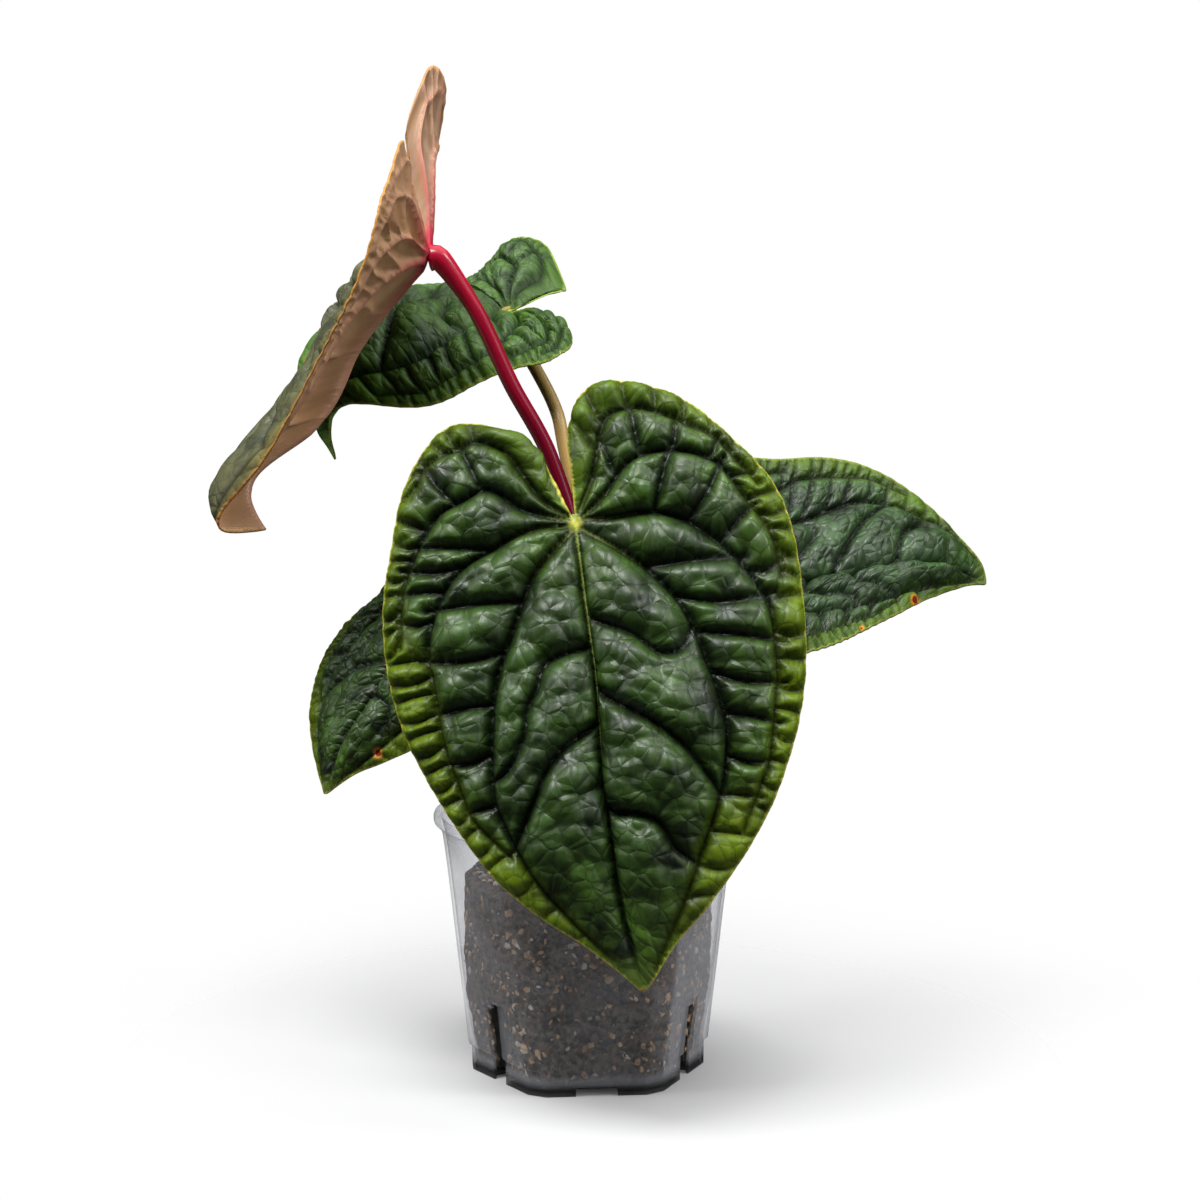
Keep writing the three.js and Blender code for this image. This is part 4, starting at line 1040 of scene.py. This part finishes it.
def upper_cuticle(name, deep, crown, outer, margin, thread, rim, star, tip, smooth, rough):
    """Waxy upper skin of a velvet-green leaf: deep green near the veins and nearly black in the
    creases, both painted shade, clearer on each crown, paler along the margin, with a satin gloss
    broken by fine wrinkles."""
    blotch_width = 18.2
    net_width = 6.06
    wrinkle_width = 1.613
    material, tree = new_material(name)
    mark = {label: add_node(tree, "Attribute", attribute_name=label).outputs["Fac"]
            for label in ("crown", "outer", "margin", "crease", "cell", "far", "thread", "rim",
                          "star", "scorch")}
    plan_spot = add_node(tree, "UVMap", uv_map="plan")
    blotch = add_node(tree, "TexNoise", {
        "Vector": plan_spot, "Scale": repeats(blotch_width), "Detail": 4.0, "Roughness": 0.6})
    blotch = add_node(tree, "MapRange", {"Value": blotch, "From Min": 0.32, "From Max": 0.68})
    crown_share = add_node(tree, "MapRange", {
        "Value": mark["crown"], "From Min": 0.1, "From Max": 0.95})
    crown_share = add_node(tree, "Math", {0: crown_share, 1: blotch}, operation="MULTIPLY")
    fresh = add_node(tree, "Mix", {0: mark["outer"], 6: crown, 7: outer},
                     data_type="RGBA").outputs[2]
    patches = add_node(tree, "MapRange", {"Value": blotch, "To Min": 0.4})
    beside = add_node(tree, "MapRange", {
        "Value": mark["far"], "From Min": 0.28, "From Max": 0.5, "To Min": 0.35})
    margin_share = add_node(tree, "Math", {0: patches, 1: beside}, operation="MULTIPLY")
    margin_share = add_node(tree, "Math", {0: margin_share, 1: mark["margin"]},
                            operation="MULTIPLY")
    net = add_node(tree, "TexVoronoi", {
        "Vector": plan_spot, "Scale": repeats(net_width), "Randomness": 0.9},
        feature="DISTANCE_TO_EDGE").outputs["Distance"]
    seam = add_node(tree, "MapRange", {
        "Value": net, "From Max": 0.05, "To Min": 0.4, "To Max": 0.0})
    cell = add_node(tree, "Math", {0: mark["cell"], 1: 0.4}, operation="MULTIPLY")
    crease = add_node(tree, "Math", {0: mark["crease"], 1: 0.6}, operation="MULTIPLY")
    end = add_node(tree, "MapRange", {"Value": mark["far"], "From Min": 0.92})
    halo = add_node(tree, "MapRange", {"Value": mark["scorch"], "From Max": 0.35})
    burnt = add_node(tree, "MapRange", {
        "Value": mark["scorch"], "From Min": 0.4, "From Max": 0.6})
    # Painted shade: the colour stays deep green near the veins, away from the crowns, and turns
    # nearly black in the creases.
    colour = deep
    for share, shade in ((crown_share, fresh), (margin_share, margin), (seam, deep), (cell, deep),
                         (crease, "040703"), (end, tip), (mark["thread"], thread),
                         (mark["rim"], rim), (mark["star"], star), (halo, "b5761c"),
                         (burnt, "6e2414")):
        colour = add_node(tree, "Mix", {0: share, 6: colour, 7: shade},
                          data_type="RGBA").outputs[2]
    dome = add_node(tree, "MapRange", {"Value": net, "From Min": -0.42, "From Max": 0.42},
                    interpolation_type="SMOOTHSTEP")
    swell = add_node(tree, "MapRange", {"Value": mark["margin"], "To Min": 0.95, "To Max": 0.5})
    cells = add_node(tree, "Bump", {"Height": dome, "Strength": swell, "Distance": 1.0 * mm})
    wrinkle = add_node(tree, "TexNoise", {
        "Vector": plan_spot, "Scale": repeats(wrinkle_width), "Detail": 5.0, "Roughness": 0.6,
        "Distortion": 0.6})
    surface = add_node(tree, "Bump", {
        "Height": wrinkle, "Strength": 0.5, "Distance": 0.18 * mm, "Normal": cells})
    gloss = add_node(tree, "MapRange", {
        "Value": wrinkle, "From Min": 0.3, "From Max": 0.7, "To Min": smooth, "To Max": rough})
    shine = add_node(tree, "MapRange", {"Value": mark["margin"], "To Min": 0.44, "To Max": 0.28})
    level = add_node(tree, "MapRange", {"Value": mark["crease"], "To Min": shine, "To Max": 0.1})
    skin = add_node(tree, "BsdfPrincipled", {
        "Base Color": colour, "Roughness": gloss, "IOR": 1.45, "Normal": surface,
        "Specular IOR Level": level})
    add_node(tree, "OutputMaterial", {"Surface": skin})
    return material


def under_skin(name, flesh, left_flesh_shaded, dark, rib, rib_far, rim):
    """Duller underside: paler flesh between raised ribs that lose their colour towards the edge.
    Its left half can take other flesh than its right, as painted light and shade.
    """
    blotch_width = 11.1
    wrinkle_width = 2.0
    half_blend = 6
    material, tree = new_material(name)
    mark = {label: add_node(tree, "Attribute", attribute_name=label).outputs["Fac"]
            for label in ("far", "rung", "rib", "rim")}
    plan_spot = add_node(tree, "UVMap", uv_map="plan")
    sideways = add_node(tree, "SeparateXYZ", {0: plan_spot}).outputs["X"]
    half = add_node(tree, "MapRange", {
        "Value": sideways, "From Min": -half_blend * mm, "From Max": half_blend * mm})
    blotch = add_node(tree, "TexNoise", {
        "Vector": plan_spot, "Scale": repeats(blotch_width), "Detail": 4.0})
    blotch = add_node(tree, "MapRange", {"Value": blotch, "From Min": 0.35, "From Max": 0.7})
    blotch = add_node(tree, "Math", {0: blotch, 1: 0.7}, operation="MULTIPLY")
    rung = add_node(tree, "Math", {0: mark["rung"], 1: 0.6}, operation="MULTIPLY")
    spread = add_node(tree, "MapRange", {"Value": mark["far"], "From Min": 0.04, "From Max": 0.24})
    ribs = add_node(tree, "Mix", {0: spread, 6: rib, 7: rib_far}, data_type="RGBA").outputs[2]
    joint = add_node(tree, "MapRange", {"Value": mark["far"], "From Min": 0.07, "From Max": 0.03})
    # Painted light and shade: the left half takes its own flesh, which the bronze blade uses to
    # darken its tall lobe against a lighter other half.
    colour = left_flesh_shaded
    for share, shade in ((half, flesh), (blotch, dark), (rung, rib_far), (mark["rib"], ribs),
                         (mark["rim"], rim), (joint, rib)):
        colour = add_node(tree, "Mix", {0: share, 6: colour, 7: shade},
                          data_type="RGBA").outputs[2]
    wrinkle = add_node(tree, "TexNoise", {
        "Vector": plan_spot, "Scale": repeats(wrinkle_width), "Detail": 4.0})
    surface = add_node(tree, "Bump", {"Height": wrinkle, "Strength": 0.4, "Distance": 0.15 * mm})
    skin = add_node(tree, "BsdfPrincipled", {
        "Base Color": colour, "Roughness": 0.45, "IOR": 1.45, "Normal": surface})
    add_node(tree, "OutputMaterial", {"Surface": skin})
    return material


# Front blade, the largest, hanging nearly upright with its tip over the pot. A mature leaf is stiff
# and waxy: dark green with an olive margin, a thin yellow rim and a pale star at its joint.
# A blade's joint, midrib and edge are places in mm, and sides says how far each half swells.
fine_plan = plan_mesh(0.85)
plain_plan = plan_mesh(1.35)
green_upper = upper_cuticle(
    "waxy leaf cuticle, mature", deep="0b1406", crown="304b16", outer="3f5c14", margin="5c7008",
    thread="7f8f45", rim="bdb84a", star="b9bc50", tip="4f6426", smooth=0.37, rough=0.52)
green_under = under_skin(
    "matt leaf underside, green", flesh="5f7d45", left_flesh_shaded="5f7d45", dark="4a6838",
    rib="a8ac63", rib_far="7d9350", rim="b9b052")
front_blade = {
    "joint": (-4, -70, 222),
    "midrib": [(3, -86, 168), (8, -98, 115), (14, -103, 83)],
    "right": [(-7, -60, 251), (0, -51, 269), (23, -50, 270), (52, -58, 252), (74, -66, 219),
              (79, -77, 177), (70, -90, 134), (49, -100, 97), (27, -105, 70), (20, -105, 60)],
    "left": [(-14, -64, 241), (-28, -57, 254), (-48, -54, 256), (-66, -62, 233), (-73, -72, 191),
             (-71, -78, 168), (-52, -91, 125), (-26, -101, 93), (-1, -104, 76), (20, -105, 60)],
    "sides": (2, 2), "up": (0, -0.97, 0.25), "relief": 3.25, "cobbles": 1.7, "flat_edge": 4.5,
    "flat_fold": 0.01, "flat_tip": 0.5, "rim_width": 0.48, "folded": False,
    "scorched": [(0, 168, 2.2)],
}
blade("blade_front", front_blade, fine_plan, green_upper, green_under)


# Youngest blade, newly hardened and still bronze. It is folded along its midrib, so the tan
# underside with crimson ribs faces the front, and the dark upper skin shows along its left.
young_upper = upper_cuticle(
    "waxy leaf cuticle, newly hardened", deep="2b2f1e", crown="57583a", outer="5c5a38",
    margin="6b6338", thread="8d7444", rim="b07a3c", star="a2353a", tip="6b5a34", smooth=0.45,
    rough=0.58)
# Painted light and shade: the underside's left half is given darker flesh and its right half paler
# flesh.
young_under = under_skin(
    "matt leaf underside, bronze", flesh="cba37a", left_flesh_shaded="80624a", dark="a07a56",
    rib="b0213c", rib_far="b5846a", rim="b58446")
new_blade = {
    "joint": (-60, -10, 316),
    "midrib": [(-86, -2, 283), (-105, -8, 250), (-127, -20, 229)],
    "right": [(-63, -18, 331), (-66.5, -34, 346), (-66, -50, 358), (-70, -66, 344), (-74, -78, 328),
              (-82, -78, 305), (-96, -66, 280), (-117, -50, 244), (-137, -36, 218),
              (-120, -30, 215)],
    "left": [(-64.5, -6, 329), (-68, -1, 364), (-60.5, 8, 386), (-54.7, 20, 377), (-66, 44, 341),
             (-91, 50, 309), (-108, 38, 282), (-121, 18, 250), (-136, -8, 222), (-120, -30, 215)],
    "sides": (0, 1), "up": (-0.9, -0.1, 0.4), "relief": 2.1, "cobbles": 0.6, "flat_edge": 16,
    "flat_fold": 12, "flat_tip": 0.5, "rim_width": 0.75, "folded": True, "scorched": [],
}
blade("blade_new", new_blade, plain_plan, young_upper, young_under)


# Rear blade, held nearly level on a tall stalk, with its lobes lifted towards the front. It is a
# mature leaf with a softer, more satin skin than the front one.
back_upper = upper_cuticle(
    "satin leaf cuticle, shaded side", deep="1a300f", crown="4a6e24", outer="38570f",
    margin="3e5e0e", thread="6f8f3a", rim="8fa244", star="b4c04f", tip="6f963c", smooth=0.46,
    rough=0.6)
plain_habit = {"flat_edge": 11, "flat_fold": 0.01, "flat_tip": 0.25, "rim_width": 0.75,
               "folded": False, "scorched": []}
back_blade = {
    **plain_habit, "joint": (-32, 55, 293),
    "midrib": [(-65, 54, 286), (-94, 50, 268), (-106, 46, 249)],
    "right": [(-19, 50, 292), (-11, 40, 289), (-6, 25, 283), (-11, 15, 278), (-24, 10, 274),
              (-42, 10, 267), (-63, 15, 258), (-93, 25, 258), (-102, 36, 248), (-101, 42, 235)],
    "left": [(-19, 57, 299), (-9, 62, 303), (-16, 78, 318), (-31, 88, 322), (-46, 92, 307),
             (-59, 92, 294), (-76, 85, 286), (-91, 70, 277), (-109, 52, 257), (-101, 42, 235)],
    "sides": (3, 0), "up": (0, -0.5, 0.85), "relief": 2.5, "cobbles": 0.7,
}
blade("blade_back", back_blade, plain_plan, back_upper, green_under)


# Right blade, seen along its length, with two scorched spots on its lower edge. It is mature and
# waxy, darker and bluer than the front one.
side_upper = upper_cuticle(
    "waxy leaf cuticle, mature, darker", deep="0e1709", crown="36512a", outer="3d5c26",
    margin="4c6418", thread="7f8f45", rim="7d8638", star="b9bc50", tip="4f6426", smooth=0.36,
    rough=0.52)
side_blade = {
    **plain_habit, "joint": (56, -15, 200),
    "midrib": [(89, 6, 188), (124, 26, 190), (145, 38, 189)],
    "right": [(43, -19, 206), (34, -19, 214), (37, -9, 226), (52, 8, 235), (71, 25, 237),
              (92, 38, 237), (116, 48, 230), (139, 50, 214), (155, 47, 197), (160, 45, 185)],
    "left": [(43, -25, 201), (36, -34, 197), (37, -47, 188), (48, -52, 177), (69, -48, 171),
             (84, -38, 171), (106, -12, 175), (129, 15, 181), (149, 35, 185), (160, 45, 185)],
    "sides": (-3, -3), "up": (0, -0.6, 0.8), "relief": 2.6, "cobbles": 0.7,
    "scorched": [(-40, 126, 4.5), (-60, 89, 2.4)],
}
blade("blade_side", side_blade, plain_plan, side_upper, green_under)


# Left blade, the oldest, hanging low behind the front one, with a scorched spot near its tip. Its
# skin is that of the front blade.
low_blade = {
    **plain_habit, "joint": (-50, -15, 201),
    "midrib": [(-67, -18, 172), (-84, -22, 146), (-95, -23, 128)],
    "right": [(-40, -20, 210), (-33, -25, 213), (-25, -35, 205), (-22, -42, 190),
              (-27, -45, 172), (-35, -45, 157), (-51, -40, 142), (-72, -32, 129),
              (-92, -25, 119), (-100, -22, 113)],
    "left": [(-48, -10, 211), (-51, -5, 219), (-62, 5, 217), (-72, 15, 201), (-85, 20, 180),
             (-96, 20, 171), (-106, 15, 154), (-108, 2, 136), (-104, -12, 121),
             (-100, -22, 113)],
    "sides": (2, 2), "up": (-0.2, -0.8, 0.55), "relief": 1.3, "cobbles": 0.8,
    "scorched": [(29, 131, 4.0)],
}
blade("blade_low", low_blade, plain_plan, green_upper, green_under)


# Stalks. Round, smooth and solid, a little flattened on top, each with a swollen joint under its
# blade. Their colour runs from the youngest, crimson, to the older ones, olive and brown.
ring_spacing = 1.3
stalk_sides = 24
flattening = 0.035
fluting = 0.012
joint_flare = 0.9
swell_share = 1 / 9
stalk_angles = np.arange(stalk_sides) * 2 * math.pi / stalk_sides


def stalk_rings(line, radii):
    """The rings round a stalk's line, and the share of its length that each ring lies at."""
    ahead = np.vstack([line[1:], line[-1:]])
    behind = np.vstack([line[:1], line[:-1]])
    along = ahead - behind
    along /= np.linalg.norm(along, axis=1)[:, None]
    t = np.linspace(0, 1, len(line))
    swell = np.clip(1 - (1 - t) / swell_share, 0, 1)
    swell = swell * swell * (3 - 2 * swell)
    flare = joint_flare * np.exp(-(1 - t) * ring_spacing * len(line) / 4)
    radius = (radii[0] + (radii[1] - radii[0]) * np.minimum(1, 2 * t)
              + (radii[2] - radii[1]) * swell + flare)
    side = np.array((1.0, 0.0, 0.0))
    rings = []
    for k, forward in enumerate(along):
        side = side - forward * (side @ forward)
        side /= np.linalg.norm(side)
        other = np.cross(forward, side)
        reach = radius[k] * (1 + flattening * np.cos(2 * stalk_angles)
                             + fluting * np.cos(9 * stalk_angles + 2 * t[k]))
        rings.append(line[k] + reach[:, None] * (np.cos(stalk_angles)[:, None] * side
                                                 + np.sin(stalk_angles)[:, None] * other))
    return rings, t


def stalk(name, path, radii, spec, material):
    """A stalk along a path to its blade's joint, with its radius at the foot, middle and top."""
    joint, normal = lay(spec, np.zeros((1, 2)))
    joint, normal = joint[0], normal[0]
    path = [*path, joint - 6 * normal, joint - 1.2 * normal]
    line = even_line(smooth_line(path, 12), ring_spacing)
    rings, t = stalk_rings(line, radii)
    count, sides = len(line), stalk_sides
    points = np.vstack([*rings, line[:1], line[-1:]])
    low = np.arange(count - 1)[:, None] * sides + np.arange(sides)
    next_side = np.arange(count - 1)[:, None] * sides + (np.arange(sides) + 1) % sides
    quads = np.stack([low, next_side, next_side + sides, low + sides], -1).reshape(-1, 4)
    last = (count - 1) * sides
    turn = [(k, (k + 1) % sides) for k in range(sides)]
    caps = [(b, a, count * sides) for a, b in turn]
    caps += [(last + a, last + b, count * sides + 1) for a, b in turn]
    mesh = bpy.data.meshes.new(name)
    mesh.from_pydata((points * mm).tolist(), [], quads.tolist() + caps)
    share = np.append(np.repeat(t, sides), (0, 1)).astype(np.float32)
    mesh.attributes.new("along", "FLOAT", "POINT").data.foreach_set("value", share)
    loops = np.zeros(len(mesh.loops), np.int32)
    mesh.loops.foreach_get("vertex_index", loops)
    around = np.append(np.tile(np.abs(stalk_angles - math.pi) * 2.7, count), (0, 0))
    run = np.append(np.repeat(np.arange(count) * ring_spacing, sides), (0, ring_spacing * count))
    layer = mesh.uv_layers.new(name="stalk")
    layer.data.foreach_set("uv", (np.stack([around, run], 1)[loops] * mm).ravel())
    mesh.materials.append(material)
    piece = placed(name, mesh)
    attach(piece, "root")
    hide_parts(name.replace("stalk", "petiole"))


def stalk_skin(name, foot, middle, top, streak, lit_flank, roughness):
    """Smooth taut skin with fine streaks along it, a satin wax bloom, and a painted highlight along
    one flank.
    """
    streak_width = 1.11
    streak_length = 22.2
    material, tree = new_material(name)
    spot = add_node(tree, "UVMap", uv_map="stalk")
    drawn = add_node(tree, "Mapping", {
        "Vector": spot, "Scale": (repeats(streak_width), repeats(streak_length), 1.0)})
    fibres = add_node(tree, "TexNoise", {"Vector": drawn, "Scale": 1.0, "Detail": 4.0})
    along = add_node(tree, "Attribute", attribute_name="along").outputs["Fac"]
    lower = add_node(tree, "MapRange", {"Value": along, "From Max": 0.55})
    upper = add_node(tree, "MapRange", {"Value": along, "From Min": 0.6})
    streaks = add_node(tree, "MapRange", {
        "Value": fibres, "From Min": 0.45, "From Max": 0.75, "To Max": 0.6})
    # Painted highlight: one flank of the stalk is lightened towards a paler colour.
    around = add_node(tree, "SeparateXYZ", {0: spot}).outputs["X"]
    lit_flank_share = add_node(tree, "MapRange", {
        "Value": around, "From Min": 3.2 * mm, "From Max": 0.6 * mm, "To Max": 0.7},
        interpolation_type="SMOOTHSTEP")
    colour = foot
    for share, shade in ((lower, middle), (upper, top), (streaks, streak), (lit_flank_share, lit_flank)):
        colour = add_node(tree, "Mix", {0: share, 6: colour, 7: shade},
                          data_type="RGBA").outputs[2]
    surface = add_node(tree, "Bump", {"Height": fibres, "Strength": 0.35, "Distance": 0.12 * mm})
    skin = add_node(tree, "BsdfPrincipled", {
        "Base Color": colour, "Roughness": roughness, "IOR": 1.45, "Normal": surface})
    add_node(tree, "OutputMaterial", {"Surface": skin})
    return material


crimson = stalk_skin(
    "young stalk skin, crimson", foot="4a061c", middle="62061f", top="a30f2c", streak="30030f",
    lit_flank="b8786a", roughness=0.24)
olive = stalk_skin(
    "old stalk skin, olive brown", foot="8a6a3a", middle="a58550", top="95803f", streak="6b5230",
    lit_flank="b89a60", roughness=0.36)
green = stalk_skin(
    "stalk skin, green", foot="6a6a34", middle="6c7a38", top="83954a", streak="4f5a2a",
    lit_flank="8c9650", roughness=0.36)
stalk("stalk_front", [(0, -5.6, 86), (0, -10, 125), (-2, -24, 180), (-4, -48, 216)],
      (2.7, 2.5, 3.1), front_blade, green)
stalk("stalk_new", [(-3.3, 4.5, 86), (-4, 6, 140), (-4, 3, 200), (-14, 0, 239), (-29, -4, 268),
                    (-41, -7, 294)], (2.7, 3.0, 4.0), new_blade, crimson)
stalk("stalk_back", [(3.3, 4.5, 86), (5, 12, 140), (-1, 19, 200), (-9, 25, 240), (-14, 33, 259)],
      (2.7, 2.5, 2.9), back_blade, olive)
stalk("stalk_side", [(5.3, -1.7, 86), (13, -1, 125), (30, 0, 165), (44, -3, 181)],
      (2.7, 2.4, 2.9), side_blade, green)
stalk("stalk_low", [(-5.3, -1.7, 86), (-12, 0, 125), (-29, 2, 168), (-41, 0, 184)],
      (2.7, 2.4, 2.9), low_blade, green)
